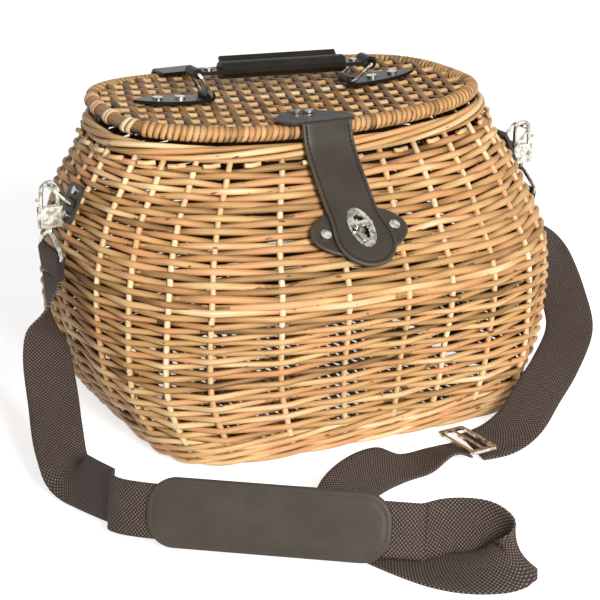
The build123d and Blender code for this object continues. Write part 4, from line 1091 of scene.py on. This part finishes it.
def pad_layer(name, side, thickness, replaced):
    """One leather layer of the pad, pressed down along its seam."""
    rows = 85
    columns = 27
    points = []
    for face in (1, 0):
        for i in range(rows):
            x = -pad_length / 2 * cos(pi * i / (rows - 1))
            half = pad_half_width(x)
            for k in range(columns):
                y = half * -cos(pi * k / (columns - 1))
                height = half_webbing
                if face:
                    distance = max(pad_edge_distance(x, y), 0)
                    swell = min(distance / 9, 1)
                    height += thickness * (0.55 + 0.45 * sqrt(max(1 - (1 - swell) ** 2, 0)))
                    height -= 0.45 * 2.718 ** (-((distance - pad_seam_inset) / 0.9) ** 2)
                    height -= 0.35 * max(1 - distance / 0.8, 0)
                points.append((pad_middle + pad_way * x + pad_across * y + pad_out * (side * height)) * mm)
    faces = sheet_faces(rows, columns)
    if side < 0:
        faces = [face[::-1] for face in faces]
    piece = new_piece(name, points, faces, {}, "basket", pad_leather, [replaced])
    return piece


pad_front = pad_layer("pad_outer_leather", 1, outer_thickness, "shoulder_pad")
pad_back = pad_layer("pad_inner_leather", -1, inner_thickness, "pad_lining")
seam_places = []
seam_count = 200
half_x = pad_length / 2 - pad_seam_inset
half_y = pad_width / 2 - pad_seam_inset
corner = pad_corner - pad_seam_inset
for k in range(seam_count + 1):
    turn = 2 * pi * k / seam_count
    x = max(-half_x, min(half_x, half_x * cos(turn) * 1.6))
    y = max(-half_y, min(half_y, half_x * sin(turn)))
    dx = abs(x) - (half_x - corner)
    dy = abs(y) - (half_y - corner)
    if dx > 0 and dy > 0 and hypot(dx, dy) > corner:
        scale = corner / hypot(dx, dy)
        x = (half_x - corner + dx * scale) * (1 if x > 0 else -1)
        y = (half_y - corner + dy * scale) * (1 if y > 0 else -1)
    seam_places.append(pad_middle + pad_way * x + pad_across * y
                       + pad_out * (half_webbing + outer_thickness * 0.72 - 0.35))
pad_seam = stitches("pad_seam_thread", seam_places, [pad_out] * len(seam_places), "basket", 3.0, 0.7, 1.4)

# Camera at the photograph's height and angle, pale floor and plain soft light.
camera_data = bpy.data.cameras.new("camera")
camera_data.sensor_width = 36
camera_data.lens = 119.6
camera_distance = 1584.2
camera_aim = Vector((-10.5, -32.4, 86.6))
camera_data.clip_end = 20
camera = placed("camera", camera_data)
bpy.context.scene.camera = camera
azimuth = radians(-26.72)
elevation = radians(19.65)
roll = radians(0.36)
back = Vector((sin(azimuth) * cos(elevation), -cos(azimuth) * cos(elevation), sin(elevation)))
right = Vector((cos(azimuth), sin(azimuth), 0))
over = back.cross(right)
right, over = right * cos(roll) + over * sin(roll), over * cos(roll) - right * sin(roll)
turned = Matrix((right, over, back)).transposed().to_4x4()
turned.translation = (camera_aim + back * camera_distance) * mm
camera.matrix_world = turned


def seen_directly(tree):
    """1 for rays from the camera, mirrors and glass, 0 for light on the piece."""
    path = tree.nodes.new("ShaderNodeLightPath")
    rays = [Tint(tree, path.outputs["Is " + kind + " Ray"]) for kind in ("Camera", "Glossy", "Transmission")]
    return rays[0].math("MAXIMUM", rays[1]).math("MAXIMUM", rays[2])


bpy.ops.mesh.primitive_plane_add(size=12, location=(0, 0, 0))
floor = bpy.context.active_object
floor.name = "floor"
floor_paint, tree, shader = finish("floor_paint", 0.9)
shader.inputs["Base Color"].default_value = (0.95, 0.95, 0.95, 1)
shader.inputs["Emission Color"].default_value = (1, 1, 1, 1)
shader.inputs["Specular IOR Level"].default_value = 0.1
(seen_directly(tree) * 0.72).into(shader, "Emission Strength")
floor.data.materials.append(floor_paint)
floor.location.z = -0.0002
world = bpy.data.worlds.new("studio")
bpy.context.scene.world = world
world.use_nodes = True
tree = world.node_tree
soft_light = tree.nodes["Background"]
soft_light.inputs["Color"].default_value = (1, 1, 1, 1)
soft_light.inputs["Strength"].default_value = 0.2
backdrop = add_node(tree, "Background", {}, {"Color": (1, 1, 1, 1)})
lit = Tint(tree, soft_light.outputs[0])
chosen = add_node(tree, "MixShader", {}, {0: seen_directly(tree), 1: lit, 2: backdrop})
chosen.into(tree.nodes["World Output"], "Surface")
for name, place, size, power in (("key_light", (-0.25, -2.3, 1.1), 0.7, 66),
                                 ("fill_light", (1.7, -1.2, 0.9), 1.4, 5)):
    lamp_data = bpy.data.lights.new(name, "AREA")
    lamp_data.size = size
    lamp_data.energy = power
    lamp = placed(name, lamp_data)
    lamp.location = place
    lamp.rotation_euler = (Vector((0, 0, 0.1)) - Vector(place)).to_track_quat("-Z", "Y").to_euler()
bpy.context.scene.view_settings.view_transform = "Standard"
